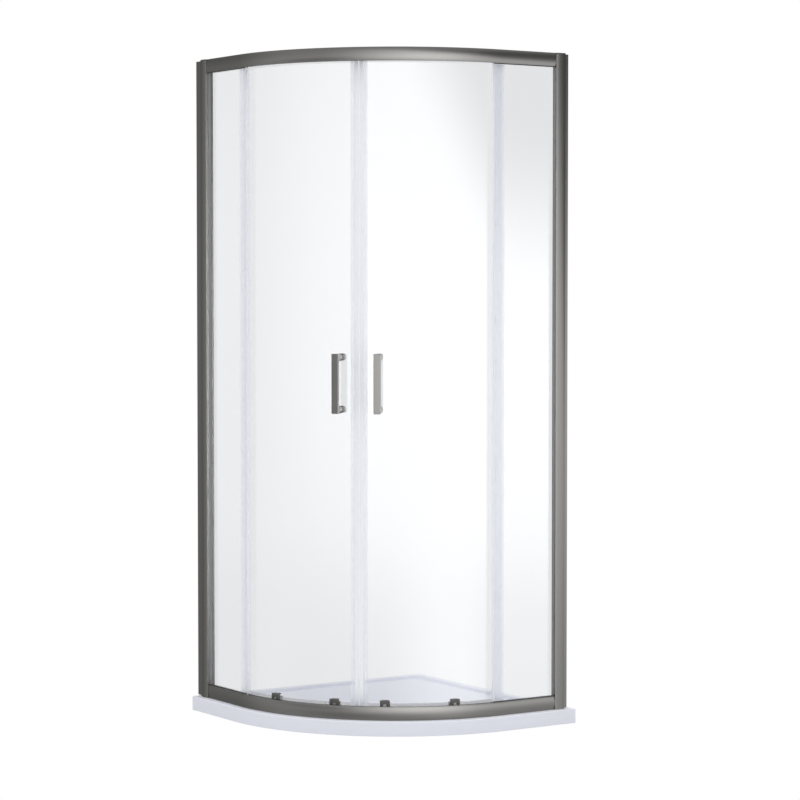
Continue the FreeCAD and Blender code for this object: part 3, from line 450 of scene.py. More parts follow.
def crowned_line(bm, level):
    """Starts a line at the wall side of a post and follows its crowned face."""
    pen = Pen(bm, run_point(POST_BULGE, POST_END, level))
    return pen.arc(CROWN_CENTRE + Vector((0, 0, level)), -CROWN_TURN, CROWN_STEPS)


def draw_up(bm, foot, low, high):
    """Draws a closed line up from one level to another, closes both ends and returns the head."""
    head = extrude_loop(bm, foot, (0, 0, high - low))
    close_ends(bm, foot, head)
    return head


def add_pair(name, bm, finish, body, slot, *nodes):
    """Adds a right-hand piece and its mirror image on the left; {} in a name stands for the side."""
    pieces = []
    for side, place in SIDES.items():
        copy = bm.copy()
        bmesh.ops.transform(copy, matrix=place, verts=copy.verts)
        pieces.append(add_piece(name + "_" + side, copy, finish, body.format(side), slot,
                                *[node.format(side) for node in nodes]))
    bm.free()
    return pieces


post_metal = anodised("post_gunmetal", POST_GRAIN)
bm = bmesh.new()
skin = RUN + POST_WALL
groove = RUN + GROOVE_DEPTH
jaw = RUN + JAW_SETBACK
pen = crowned_line(bm, post_low.z)
run_line(pen, post_low.z, (
    (GROOVE_FRONT, RUN), (GROOVE_FRONT, groove), (GROOVE_BACK, groove), (GROOVE_BACK, jaw),
    (POST_DEPTH, jaw), (POST_DEPTH, POST_END), (POST_DEPTH - POST_WALL, POST_END),
    (POST_DEPTH - POST_WALL, jaw + POST_WALL), (GROOVE_BACK + POST_WALL, jaw + POST_WALL),
    (GROOVE_BACK + POST_WALL, groove + POST_WALL), (GROOVE_FRONT - POST_WALL, groove + POST_WALL),
    (GROOVE_FRONT - POST_WALL, skin), (POST_BULGE + POST_WALL, skin),
    (POST_BULGE + POST_WALL, POST_END)))
draw_up(bm, pen.close(POST_CORNER), post_low.z, post_high.z)
add_pair("post_extrusion", bm, post_metal, "frame", "gunmetal", "post_{}")

# Wall profiles: plain channels in the same finish, screwed to the walls through their webs. The posts
# slide over their flanges to take up a wall that is out of true, so each shows a different width.
for side in SIDES:
    profile = frame["nodes"]["wall_profile_" + side]
    profile.data.materials.clear()
    profile.data.materials.append(post_metal)

# Post caps: moulded plates that close the tops of the posts, coloured to match, each with a peg that
# grips the post's back chamber.
cap_low, cap_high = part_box("post_caps")
CAP_ROUND = 0.8 * MM
CAP_CORNER = 1.8 * MM
PEG_PLAY = 0.3 * MM


def add_block(bm, low, high, corner=0, segments=2):
    """A block between two corners, with all its edges rounded."""
    size = Vector(high) - Vector(low)
    place = Matrix.LocRotScale((Vector(low) + Vector(high)) / 2, None, size)
    verts = bmesh.ops.create_cube(bm, size=1, matrix=place)["verts"]
    if corner:
        round_edges(bm, edges_of(verts), corner, segments)


def add_twins(name, bm, finish, slot, node):
    """Adds a pair of pieces on the frame body that share one node."""
    twins = add_pair(name, bm, finish, "frame", slot)
    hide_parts(node)


plastic = Finish("cap_plastic")
cap_plastic = plastic.set(
    Base_Color=plastic.between(plastic.noise(60.0), (0.052, 0.051, 0.049), (0.066, 0.065, 0.062)),
    Roughness=0.32 + 0.14 * plastic.noise(900.0),
    Normal=plastic.bump(plastic.noise(1800.0), 0.10, 0.05 * MM))
bm = bmesh.new()
pen = crowned_line(bm, post_high.z)
run_line(pen, post_high.z, ((POST_DEPTH, RUN), (POST_DEPTH, POST_END)))
plate_head = draw_up(bm, pen.close(CAP_CORNER, ROUND_STEPS), post_high.z, cap_high.z)
bmesh.ops.recalc_face_normals(bm, faces=bm.faces)
round_edges(bm, plate_head, CAP_ROUND, ROUND_STEPS)
add_block(bm, run_point(GROOVE_BACK, groove + POST_WALL + PEG_PLAY, cap_low.z),
          run_point(GROOVE_FRONT, POST_END - POST_WALL, post_high.z), POST_CORNER)
add_twins("post_cap", bm, cap_plastic, "dark_plastic", "post_caps")

# Fixed panes: flat 5 mm toughened glass with ground edges. They are bedded in the rails and in the
# posts' grooves, and end free where the doors slide behind them.
PANE_THICK = 5 * MM
PANE_FRONT = 18 * MM
PANE_BACK = PANE_FRONT + PANE_THICK
PANE_ARRIS = 0.7 * MM
END_REACH = 3 * MM
pane_low, pane_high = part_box("fixed_glass_right")
glazing = Finish("clear_glass")
clear_glass = glazing.set(
    Base_Color=glazing.between(glazing.noise(1.5), (0.785, 0.795, 0.81), (0.80, 0.81, 0.822)),
    Roughness=0.0,
    IOR=1.45,
    Transmission_Weight=1.0)
grinding = Finish("ground_edge")
ground_edge = grinding.set(
    Base_Color=grinding.between(grinding.noise(400.0), (0.80, 0.815, 0.85), (0.86, 0.875, 0.90)),
    Roughness=0.5 + 0.2 * grinding.noise(900.0))


def grind_edges(bm, head, *ends):
    """Gives a pane's head, and its upright edges at these points, the finish of its second material."""
    for face in bm.faces:
        middle = face.calc_center_median()
        if middle.z > head - END_REACH or any((middle - end).xy.length < END_REACH for end in ends):
            face.material_index = 1


def pass_light(*pieces):
    """Lets the studio's soft light through clear pieces, without a shadow."""
    for piece in pieces:
        piece.visible_shadow = False
        piece.visible_diffuse = False


bm = bmesh.new()
pane_start = pane_low.y - CURVE.y
pane_end = pane_high.y - CURVE.y
add_block(bm, run_point(PANE_BACK, pane_start, pane_low.z),
          run_point(PANE_FRONT, pane_end, pane_high.z), PANE_ARRIS)
grind_edges(bm, pane_high.z, run_point((PANE_FRONT + PANE_BACK) / 2, pane_start))
panes = add_pair("fixed_pane", bm, clear_glass, "frame", "clear_glass", "fixed_glass_{}")
for pane in panes:
    pane.data.materials.append(ground_edge)
pass_light(*panes)

# Gaskets, glazing strips and stops: rubber, grey where it shows and black in the rails. A channel gasket
# lines each post's groove, wedge strips hold the panes in the rails, and blocks near both ends of the
# rails end the travel of the doors.
gasket_low, gasket_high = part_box("post_gasket_right")
GASKET_CORNER = 0.5 * MM
STRIP_TALL = 15.5 * MM
STRIP_PROUD = 1.5 * MM
STRIP_PLAY = 0.05 * MM
STRIP_START = -13 * MM
STOP_LENGTH = 12 * MM
STOP_PLAY = 0.3 * MM
STOP_ROUND = 1 * MM
STOP_STEPS = 3
RAIL_WEBS = ((rail_low.z, 1), (top_rail_high.z, -1))
stop_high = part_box("door_stops")[1]
rubber = Finish("black_rubber")
black_rubber = rubber.set(
    Base_Color=rubber.between(rubber.noise(80.0), (0.03, 0.03, 0.031), (0.05, 0.05, 0.051)),
    Roughness=0.52 + 0.22 * rubber.noise(700.0),
    Normal=rubber.bump(rubber.noise(1500.0), 0.2, 0.05 * MM))
lining = Finish("grey_rubber")
grey_rubber = lining.set(
    Base_Color=lining.between(lining.noise(80.0), (0.20, 0.20, 0.20), (0.26, 0.26, 0.26)),
    Roughness=0.4 + 0.2 * lining.noise(700.0),
    Normal=lining.bump(lining.noise(1500.0), 0.15, 0.05 * MM))
bm = bmesh.new()
pen = Pen(bm, run_point(GROOVE_FRONT, RUN, gasket_low.z))
run_line(pen, gasket_low.z, (
    (PANE_FRONT, RUN), (PANE_FRONT, pane_end), (PANE_BACK, pane_end), (PANE_BACK, jaw),
    (GROOVE_BACK, jaw), (GROOVE_BACK, groove), (GROOVE_FRONT, groove)))
draw_up(bm, pen.close(GASKET_CORNER), gasket_low.z, gasket_high.z)
add_pair("post_gasket_channel", bm, grey_rubber, "frame", "black_rubber", "post_gasket_{}")

bm = bmesh.new()
strip_fit = ((FACE - nose_point(RAIL_HEIGHT).x + STRIP_PLAY, PANE_FRONT, RAIL_HEIGHT + STRIP_PROUD),
             (PANE_BACK, RIB, RIB_TOP + STRIP_PROUD))
for strip_front, strip_back, strip_top in strip_fit:
    for rail_web, sense in RAIL_WEBS:
        levels = sorted((rail_web + sense * (strip_top - STRIP_TALL), rail_web + sense * strip_top))
        add_block(bm, run_point(strip_back, STRIP_START, levels[0]),
                  run_point(strip_front, RUN, levels[1]), GASKET_CORNER)
add_twins("glazing_strip_set", bm, black_rubber, "black_rubber", "glazing_strips")

bm = bmesh.new()
stop_end = stop_high.y - CURVE.y
for rail_web, sense in RAIL_WEBS:
    levels = sorted((rail_web + sense * RAIL_WALL, rail_web + sense * SHELF))
    add_block(bm, run_point(RIB - RAIL_WALL, stop_end - STOP_LENGTH, levels[0]),
              run_point(BOSS + STOP_PLAY, stop_end, levels[1]), STOP_ROUND, STOP_STEPS)
add_twins("door_stop_blocks", bm, black_rubber, "black_rubber", "door_stops")

# Screws and covers: steel pan-head screws through the posts into the rails' ports, and on the inside
# the locking screws of the wall profiles, under snap-on plastic covers.
SCREW_LENGTH = 20 * MM
SCREW_HEAD = 2.4 * MM
SCREW_TIP = 0.6 * MM
SCREW_STEPS = 24
RAIL_SCREW = 1.5 * MM
RAIL_SCREW_HEAD = 2.3 * MM
LOCK_SCREW = 2 * MM
LOCK_SCREW_HEAD = 3.5 * MM
LOCK_LENGTH = 8 * MM
LOCK_INSET = 8 * MM
LOCK_PITCH = 0.7
COVER_RADIUS = 6 * MM
COVER_HEIGHT = 4 * MM
COVER_WALL = 1 * MM
THREAD_PLAY = 0.05 * MM
LATHE_STEPS = 40
LATHE_SEAM = 0.001 * MM


def lathe(bm, place, profile, steps=LATHE_STEPS):
    """Turns a line of (along, radius) corners about the X axis and sets the piece in place."""
    known = set(bm.verts)
    pen = Pen(bm, (profile[0][0], 0, profile[0][1]))
    pen.line(*[(along, 0, radius) for along, radius in profile[1:]])
    drawn = [vert for vert in bm.verts if vert not in known]
    bmesh.ops.spin(bm, geom=drawn + pen.edges(), cent=(0, 0, 0), axis=(1, 0, 0), angle=2 * math.pi,
                   steps=steps, use_merge=True, use_duplicate=False)
    bmesh.ops.remove_doubles(bm, verts=[vert for vert in bm.verts if vert not in known], dist=LATHE_SEAM)
    bmesh.ops.transform(bm, matrix=place, verts=[vert for vert in bm.verts if vert not in known])


def screw_line(length, shank, head):
    return ((-length, 0), (-length, shank - SCREW_TIP), (SCREW_TIP - length, shank), (0, shank), (0, head),
            (0.4 * SCREW_HEAD, head), (0.75 * SCREW_HEAD, 0.85 * head), (0.95 * SCREW_HEAD, 0.6 * head),
            (SCREW_HEAD, 0.35 * head), (0.55 * SCREW_HEAD, 0.28 * head), (0.55 * SCREW_HEAD, 0))


steel = Finish("satin_steel")
satin_steel = steel.set(
    Base_Color=steel.between(steel.noise(300.0), (0.54, 0.54, 0.53), (0.64, 0.64, 0.63)),
    Metallic=1.0,
    Roughness=0.24 + 0.16 * steel.noise(800.0),
    Normal=steel.bump(steel.noise(2400.0), 0.08, 0.03 * MM))
bm = bmesh.new()
along_run = Matrix.Rotation(math.pi / 2, 4, "Z")
inward = Matrix.Rotation(math.pi, 4, "Z")
for rail_web, sense in RAIL_WEBS:
    for port in (PORT, RAIL_HEIGHT - PORT):
        head_seat = run_point(BOSS - PORT_RIM, skin, rail_web + sense * port)
        lathe(bm, Matrix.Translation(head_seat) @ along_run,
              screw_line(SCREW_LENGTH, RAIL_SCREW - THREAD_PLAY, RAIL_SCREW_HEAD), SCREW_STEPS)
add_twins("rail_screw_set", bm, satin_steel, "steel", "rail_screws")
screw_bm = bmesh.new()
cover_bm = bmesh.new()
cover_bore = COVER_RADIUS - COVER_WALL
lock_middle = (rail_low.z + top_rail_high.z) / 2
for step in (-1, 0, 1):
    seat = run_point(POST_DEPTH, POST_END - LOCK_INSET, lock_middle + step * LOCK_PITCH)
    place = Matrix.Translation(seat) @ inward
    lathe(screw_bm, place, screw_line(LOCK_LENGTH, LOCK_SCREW - THREAD_PLAY, LOCK_SCREW_HEAD), SCREW_STEPS)
    lathe(cover_bm, place, (
        (0, cover_bore), (0, COVER_RADIUS), (0.45 * COVER_HEIGHT, COVER_RADIUS),
        (0.75 * COVER_HEIGHT, 0.87 * COVER_RADIUS), (0.93 * COVER_HEIGHT, 0.6 * COVER_RADIUS),
        (COVER_HEIGHT, 0.3 * COVER_RADIUS), (COVER_HEIGHT, 0), (COVER_HEIGHT - COVER_WALL, 0),
        (COVER_HEIGHT - COVER_WALL, 0.4 * cover_bore), (0.45 * COVER_HEIGHT, cover_bore), (0, cover_bore)))
add_twins("profile_screw_set", screw_bm, satin_steel, "steel", "profile_screws")
add_twins("screw_cover_set", cover_bm, cap_plastic, "dark_plastic", "screw_covers")

# Fixed edge seals: clear flexible extrusions pushed onto the free edges of the panes, with a lip that
# the door's own trailing seal hooks when it is shut.
edge_low, edge_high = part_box("fixed_edge_seal_right")
SEAL_WALL = 1.2 * MM
SEAL_LIP = 2.4 * MM
SEAL_COVER = 23 * MM
SEAL_CORNER = 0.35 * MM
GLASS_PLAY = 0.1 * MM
seal = Finish("clear_seal")
clear_seal = seal.set(
    Base_Color=seal.between(seal.noise(30.0, 2.0, (1, 1, 0.005)),
                            (0.85, 0.875, 0.97), (0.91, 0.925, 0.99)),
    Roughness=0.16 + 0.12 * seal.noise(500.0, 2.0, (1, 1, 0.001)),
    IOR=1.45,
    Alpha=0.2,
    Normal=seal.bump(seal.noise(300.0, 2.0, (1, 1, 0.0005)), 0.03, 0.05 * MM))
bm = bmesh.new()
tip = edge_low.y - CURVE.y
slot_front = PANE_FRONT - GLASS_PLAY
slot_back = PANE_BACK + GLASS_PLAY
slot_end = pane_start - GLASS_PLAY
pen = Pen(bm, run_point(PANE_FRONT - SEAL_WALL, tip, edge_low.z))
run_line(pen, edge_low.z, (
    (PANE_BACK + SEAL_WALL + SEAL_LIP, tip), (PANE_BACK + SEAL_WALL + SEAL_LIP, tip + SEAL_WALL),
    (PANE_BACK + SEAL_WALL, tip + SEAL_WALL), (PANE_BACK + SEAL_WALL, SEAL_COVER),
    (slot_back, SEAL_COVER), (slot_back, slot_end), (slot_front, slot_end), (slot_front, SEAL_COVER),
    (PANE_FRONT - SEAL_WALL, SEAL_COVER)))
draw_up(bm, pen.close(SEAL_CORNER), edge_low.z, edge_high.z)
pass_light(*add_pair("fixed_edge_strip", bm, clear_seal, "frame", "clear_seal", "fixed_edge_seal_{}"))

# Doors: 5 mm toughened glass bent to the curve, drilled for the handle and for the rollers at its
# head and foot.
DOOR_INSET = 33 * MM
DOOR_FACE = FACE - DOOR_INSET
DOOR_BACK = DOOR_FACE - PANE_THICK
DOOR_END = math.radians(47.4)
MEETING_STEM = 12.6 * MM
GLASS_HOLE = 4 * MM
HOLE_BAND = 11 * MM
HOLE_STEPS = 32
CLAMP_RISE = 11 * MM
DOOR_STEPS = 48
MEETING = -math.pi / 4
door_low, door_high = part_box("door_glass_right")
stud_low, stud_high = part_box("handle_studs_right")
STUD_RADIUS = 3 * MM
HANDLE_LEVELS = (stud_low.z + STUD_RADIUS, stud_high.z - STUD_RADIUS)


def door_angle(point):
    """Angle along the curve from the line where the doors meet, for a place on the right-hand door."""
    return math.atan2(point[1] - CURVE.y, point[0] - CURVE.x) - MEETING


def arc_angle(length):
    return length / DOOR_FACE


def curve_point(reach, angle, level=0):
    """A point of the right-hand door: out from the curve's centre, and round from the meeting line."""
    return Vector((reach * math.cos(MEETING + angle), reach * math.sin(MEETING + angle), level))


def spoke(angle, level=0):
    """Places a piece whose X axis points out through the right-hand door."""
    return Matrix.Rotation(MEETING + angle, 4, "Z") @ Matrix.Translation((0, 0, level))


def wheel_spot(end, roller):
    """Where a wheel of the right-hand door turns."""
    return Vector(named(frame["joints"], "%s_wheel_spin_right_%s" % (end, roller))["pos_m"])


HANDLE_ANGLE = door_angle((stud_low + stud_high) / 2)
ROLLERS = {roller: door_angle(wheel_spot("top", roller)) for roller in ("inner", "outer")}
TOP_AXLE = wheel_spot("top", "inner").z
BOTTOM_AXLE = wheel_spot("bottom", "inner").z
CLAMP = door_low.z + CLAMP_RISE


def drill(piece, cutter_bm):
    """Cuts a mesh out of a piece."""
    cutter = bpy.data.objects.new("drill", bpy.data.meshes.new("drill"))
    bmesh.ops.recalc_face_normals(cutter_bm, faces=cutter_bm.faces)
    cutter_bm.to_mesh(cutter.data)
    bpy.context.scene.collection.objects.link(cutter)
    cut = piece.modifiers.new("holes", "BOOLEAN")
    cut.object = cutter
    cut.solver = "EXACT"
    drilled = bpy.data.meshes.new_from_object(piece.evaluated_get(bpy.context.evaluated_depsgraph_get()))
    piece.modifiers.clear()
    piece.data = drilled
    settle_shading(piece)
    bpy.data.objects.remove(cutter)


bm = bmesh.new()
hole_rows = sorted(level + side * HOLE_BAND
                   for level in (CLAMP, *HANDLE_LEVELS, TOP_AXLE) for side in (-1, 1))
hole_rows = [level for level in hole_rows if door_low.z + PANE_ARRIS < level < door_high.z - PANE_ARRIS]
pen = Pen(bm, (DOOR_BACK, 0, door_low.z), upright)
pen.line(*[(DOOR_FACE, 0, level) for level in (door_low.z, *hole_rows, door_high.z)])
pen.line(*[(DOOR_BACK, 0, level) for level in (door_high.z, *reversed(hole_rows))])
door_edge = pen.close(PANE_ARRIS)
door_start = arc_angle(MEETING_STEM)
bmesh.ops.transform(bm, matrix=spoke(door_start), verts=bm.verts)
door_far = spin_loop(bm, door_edge, DOOR_END - door_start, DOOR_STEPS)
close_ends(bm, door_edge, door_far)
door_middle = (DOOR_FACE + DOOR_BACK) / 2
grind_edges(bm, door_high.z, curve_point(door_middle, door_start), curve_point(door_middle, DOOR_END))
holes = [(HANDLE_ANGLE, level) for level in HANDLE_LEVELS]
holes += [(angle, level) for angle in ROLLERS.values() for level in (CLAMP, TOP_AXLE)]
hole_line = ((DOOR_BACK - GLASS_HOLE, 0), (DOOR_BACK - GLASS_HOLE, GLASS_HOLE),
             (DOOR_FACE + GLASS_HOLE, GLASS_HOLE), (DOOR_FACE + GLASS_HOLE, 0))
panes = add_pair("door_pane", bm, clear_glass, "{}_door", "clear_glass", "door_glass_{}")
for place, pane in zip(SIDES.values(), panes):
    pane.data.materials.append(ground_edge)
    cutter_bm = bmesh.new()
    for angle, level in holes:
        lathe(cutter_bm, place @ spoke(angle, level), hole_line, HOLE_STEPS)
    drill(pane, cutter_bm)
    cutter_bm.free()
pass_light(*panes)

# Meeting seals: clear extrusions on the leading edges of the doors. Each grips the glass with two
# flanges and holds a strip of magnetic rubber in its nose, so that the doors pull shut.
meeting_low, meeting_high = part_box("meeting_seal_right")
CURVE_PLAY = 0.15 * MM
MEETING_GAP = 0.3 * MM
MEETING_COVER = 11 * MM
SEAL_STEPS = 5
SHORT_ARC = math.radians(0.5)
GLASS_FACE = DOOR_FACE + CURVE_PLAY
GLASS_REAR = DOOR_BACK - CURVE_PLAY


def curve_line(bm, level, corners, corner):
    """A closed line of (reach, angle) corners, with arcs round the curve along its long sides."""
    pen = Pen(bm, curve_point(*corners[0], level))
    for (reach, angle), (next_reach, next_angle) in zip(corners, corners[1:]):
        if next_reach == reach and abs(next_angle - angle) > SHORT_ARC:
            pen.arc((0, 0, level), next_angle - angle, SEAL_STEPS)
        else:
            pen.line(curve_point(next_reach, next_angle, level))
    return pen.close(corner)


bm = bmesh.new()
seal_front = GLASS_FACE + SEAL_WALL
seal_rear = GLASS_REAR - SEAL_WALL
near = arc_angle(MEETING_GAP)
edge = arc_angle(MEETING_STEM - GLASS_PLAY)
cover = arc_angle(MEETING_STEM + MEETING_COVER)
box_near = arc_angle(MEETING_GAP + SEAL_WALL)
box_far = arc_angle(MEETING_STEM - SEAL_WALL)
outside = curve_line(bm, meeting_low.z, (
    (seal_rear, near), (seal_rear, cover), (GLASS_REAR, cover), (GLASS_REAR, edge), (GLASS_FACE, edge),
    (GLASS_FACE, cover), (seal_front, cover), (seal_front, near)), SEAL_CORNER)
chamber = curve_line(bm, meeting_low.z, (
    (GLASS_REAR, box_near), (GLASS_REAR, box_far), (GLASS_FACE, box_far), (GLASS_FACE, box_near)), 0)
meeting_rise = (0, 0, meeting_high.z - meeting_low.z)
seal_ends = ((outside, chamber),
             (extrude_loop(bm, outside, meeting_rise), extrude_loop(bm, chamber, meeting_rise)))
for outer, inner in seal_ends:
    bmesh.ops.triangle_fill(bm, use_beauty=True, edges=outer + inner)
pass_light(*add_pair("meeting_strip", bm, clear_seal, "{}_door", "clear_seal", "meeting_seal_{}"))

pale = Finish("magnet_rubber")
magnet_rubber = pale.set(
    Base_Color=pale.between(pale.noise(90.0), (0.84, 0.855, 0.905), (0.90, 0.91, 0.945)),
    Roughness=0.45 + 0.2 * pale.noise(600.0))
bm = bmesh.new()
magnet_near = box_near + arc_angle(THREAD_PLAY)
magnet_far = box_far - arc_angle(THREAD_PLAY)
magnet_foot = curve_line(bm, meeting_low.z, (
    (DOOR_BACK, magnet_near), (DOOR_BACK, magnet_far), (DOOR_FACE, magnet_far),
    (DOOR_FACE, magnet_near)), SEAL_CORNER)
draw_up(bm, magnet_foot, meeting_low.z, meeting_high.z)
add_pair("magnet_bar", bm, magnet_rubber, "{}_door", "magnet_rubber", "magnet_strip_{}")

# Trailing seals: clear extrusions on the other upright edges of the doors, with a fin that closes on
# the lip of the fixed edge seal.
trailing_low, trailing_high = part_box("trailing_seal_right")
TRAILING_COVER = 24 * MM
TRAILING_FIN = 7 * MM
bm = bmesh.new()
trail_cover = DOOR_END - arc_angle(TRAILING_COVER)
trail_end = DOOR_END + arc_angle(GLASS_PLAY)
trail_tip = DOOR_END + arc_angle(SEAL_WALL)
fin = seal_front + TRAILING_FIN
trail_foot = curve_line(bm, trailing_low.z, (
    (seal_rear, trail_cover), (seal_rear, trail_tip), (fin, trail_tip), (fin, trail_end),
    (seal_front, trail_end), (seal_front, trail_cover), (GLASS_FACE, trail_cover), (GLASS_FACE, trail_end),
    (GLASS_REAR, trail_end), (GLASS_REAR, trail_cover)), SEAL_CORNER)
draw_up(bm, trail_foot, trailing_low.z, trailing_high.z)
pass_light(*add_pair("trailing_strip", bm, clear_seal, "{}_door", "clear_seal", "trailing_seal_{}"))

# Bottom seals: clear drip channels pushed up onto the foot of each door, cut into three lengths by
# the roller housings.
drip_low, drip_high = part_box("bottom_seal_right")
HOUSING_WIDTH = 28 * MM
HOUSING_CLEAR = 2.1 * MM
SEAL_PLAY = 0.3 * MM
DRIP_STEPS = 16
drip = Finish("drip_seal")
drip_seal = drip.set(
    Base_Color=drip.between(drip.noise(60.0), (0.84, 0.84, 0.83), (0.90, 0.90, 0.89)),
    Roughness=0.2 + 0.12 * drip.noise(400.0),
    IOR=1.45,
    Alpha=0.22,
    Normal=drip.bump(drip.noise(900.0), 0.08, 0.05 * MM))
housing_half = arc_angle(HOUSING_WIDTH / 2 + HOUSING_CLEAR)
spans = ((arc_angle(MEETING_STEM + MEETING_COVER + SEAL_PLAY), ROLLERS["inner"] - housing_half),
         (ROLLERS["inner"] + housing_half, ROLLERS["outer"] - housing_half),
         (ROLLERS["outer"] + housing_half, DOOR_END - arc_angle(TRAILING_COVER + SEAL_PLAY)))
bm = bmesh.new()
for span_start, span_end in spans:
    known = set(bm.verts)
    pen = Pen(bm, (seal_rear, 0, drip_low.z), upright)
    pen.line((seal_front, 0, drip_low.z), (seal_front, 0, drip_high.z), (GLASS_FACE, 0, drip_high.z),
             (GLASS_FACE, 0, door_low.z), (GLASS_REAR, 0, door_low.z), (GLASS_REAR, 0, drip_high.z),
             (seal_rear, 0, drip_high.z))
    span_near = pen.close(SEAL_CORNER)
    drawn = [vert for vert in bm.verts if vert not in known]
    bmesh.ops.transform(bm, matrix=spoke(span_start), verts=drawn)
    span_far = spin_loop(bm, span_near, span_end - span_start, DRIP_STEPS)
    close_ends(bm, span_near, span_far)
pass_light(*add_pair("bottom_strip", bm, drip_seal, "{}_door", "clear_seal", "bottom_seal_{}"))

# Handles: a flat bar on two round legs, cast in one and finished in satin gunmetal. Studs through the
# glass draw it against thin collars from the round knobs on the inside.
bar_low, bar_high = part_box("handle_right")
HANDLE_REACH = 42 * MM
HANDLE_GRAIN = (900, 900, 30)
BAR_THICK = 10 * MM
BAR_FRONT = DOOR_FACE + HANDLE_REACH
BAR_BACK = BAR_FRONT - BAR_THICK
BAR_WIDTH = 20 * MM
BAR_EDGE = 1.5 * MM
LEG_RADIUS = 9.5 * MM
LEG_EDGE = 0.5 * MM
LEG_BITE = 0.5 * MM
COLLAR_RADIUS = 10.5 * MM
COLLAR_THICK = 1.5 * MM
COLLAR_EDGE = 0.4 * MM
KNOB_RADIUS = 10 * MM
KNOB_LENGTH = 22 * MM
KNOB_EDGE = 3 * MM
STUD_BITE = 12 * MM
STUD_PLAY = 0.3 * MM
STUD_CLEAR = 1 * MM
handle_foot = GLASS_FACE + COLLAR_THICK
handle_metal = anodised("handle_gunmetal", HANDLE_GRAIN)
bm = bmesh.new()
add_block(bm, (BAR_BACK, -BAR_WIDTH / 2, bar_low.z), (BAR_FRONT, BAR_WIDTH / 2, bar_high.z),
          BAR_EDGE, ROUND_STEPS)
bmesh.ops.transform(bm, matrix=spoke(HANDLE_ANGLE), verts=bm.verts)
bite_end = handle_foot + STUD_BITE + STUD_CLEAR
for level in HANDLE_LEVELS:
    lathe(bm, spoke(HANDLE_ANGLE, level), (
        (BAR_BACK + LEG_BITE, 0), (BAR_BACK + LEG_BITE, LEG_RADIUS), (handle_foot + LEG_EDGE, LEG_RADIUS),
        (handle_foot, LEG_RADIUS - LEG_EDGE), (handle_foot, STUD_RADIUS + THREAD_PLAY),
        (bite_end, STUD_RADIUS + THREAD_PLAY), (bite_end, 0)))
add_pair("pull_handle", bm, handle_metal, "{}_door", "handle_metal", "handle_{}")

collar_bm = bmesh.new()
stud_bm = bmesh.new()
knob_bm = bmesh.new()
bore = STUD_RADIUS + STUD_PLAY
stud_rear = GLASS_REAR - STUD_BITE
stud_front = handle_foot + STUD_BITE
knob_end = GLASS_REAR - KNOB_LENGTH
knob_turns = [math.pi / 2 * step / CORNER_STEPS for step in range(CORNER_STEPS, -1, -1)]
knob_arc = [(knob_end + KNOB_EDGE * (1 - math.cos(turn)), KNOB_RADIUS - KNOB_EDGE * (1 - math.sin(turn)))
            for turn in knob_turns]
for level in HANDLE_LEVELS:
    place = spoke(HANDLE_ANGLE, level)
    lathe(collar_bm, place, (
        (GLASS_FACE, bore), (GLASS_FACE, COLLAR_RADIUS), (handle_foot - COLLAR_EDGE, COLLAR_RADIUS),
        (handle_foot, COLLAR_RADIUS - COLLAR_EDGE), (handle_foot, bore), (GLASS_FACE, bore)))
    lathe(stud_bm, place, (
        (stud_rear, 0), (stud_rear, STUD_RADIUS - COLLAR_EDGE), (stud_rear + COLLAR_EDGE, STUD_RADIUS),
        (stud_front - COLLAR_EDGE, STUD_RADIUS), (stud_front, STUD_RADIUS - COLLAR_EDGE),
        (stud_front, 0)), SCREW_STEPS)
    lathe(knob_bm, place, (
        (stud_rear - STUD_CLEAR, 0), (stud_rear - STUD_CLEAR, STUD_RADIUS + THREAD_PLAY),
        (GLASS_REAR, STUD_RADIUS + THREAD_PLAY), (GLASS_REAR, KNOB_RADIUS), *knob_arc, (knob_end, 0)))
add_pair("handle_collar_set", collar_bm, handle_metal, "{}_door", "handle_metal", "handle_collars_{}")
add_pair("handle_stud_set", stud_bm, satin_steel, "{}_door", "steel", "handle_studs_{}")
add_pair("handle_knob_set", knob_bm, handle_metal, "{}_door", "handle_metal", "handle_knobs_{}")

# Wheels: turned nylon wheels. The top ones hang the door from the rail's shelf on bolts through the
# glass, and the bottom ones run under the shelf of the lower rail.
WHEEL_INSET = 16.8 * MM
TRACK = FACE - WHEEL_INSET
WHEEL_RADIUS = 6.5 * MM
WHEEL_WIDTH = 6 * MM
WHEEL_EDGE = 0.5 * MM
WHEEL_PLAY = 0.2 * MM
AXLE = 2.2 * MM
SHOULDER = 2.9 * MM
FLANGE = 4 * MM
FLANGE_THICK = 1.2 * MM
FLANGE_EDGE = 0.3 * MM
BOLT_HEAD = 7 * MM
BOLT_HEAD_THICK = 4 * MM
BOLT_SHANK = 3.5 * MM
BOLT_COLLAR = 6 * MM
BOLT_COLLAR_THICK = 2.5 * MM
BOLT_SOCKET = 2.5 * MM
turning = Finish("turned_nylon")
turned_nylon = turning.set(
    Base_Color=turning.between(turning.noise(500.0), (0.76, 0.75, 0.70), (0.84, 0.83, 0.79)),
    Roughness=0.36 + 0.18 * turning.noise(900.0),
    Normal=turning.bump(turning.noise(2000.0), 0.08, 0.03 * MM))
wheel_rear = TRACK - WHEEL_WIDTH / 2
wheel_front = TRACK + WHEEL_WIDTH / 2
wheel_bore = AXLE + WHEEL_PLAY
wheel_line = ((wheel_rear, wheel_bore), (wheel_rear, WHEEL_RADIUS - WHEEL_EDGE),
              (wheel_rear + WHEEL_EDGE, WHEEL_RADIUS), (wheel_front - WHEEL_EDGE, WHEEL_RADIUS),
              (wheel_front, WHEEL_RADIUS - WHEEL_EDGE), (wheel_front, wheel_bore), (wheel_rear, wheel_bore))
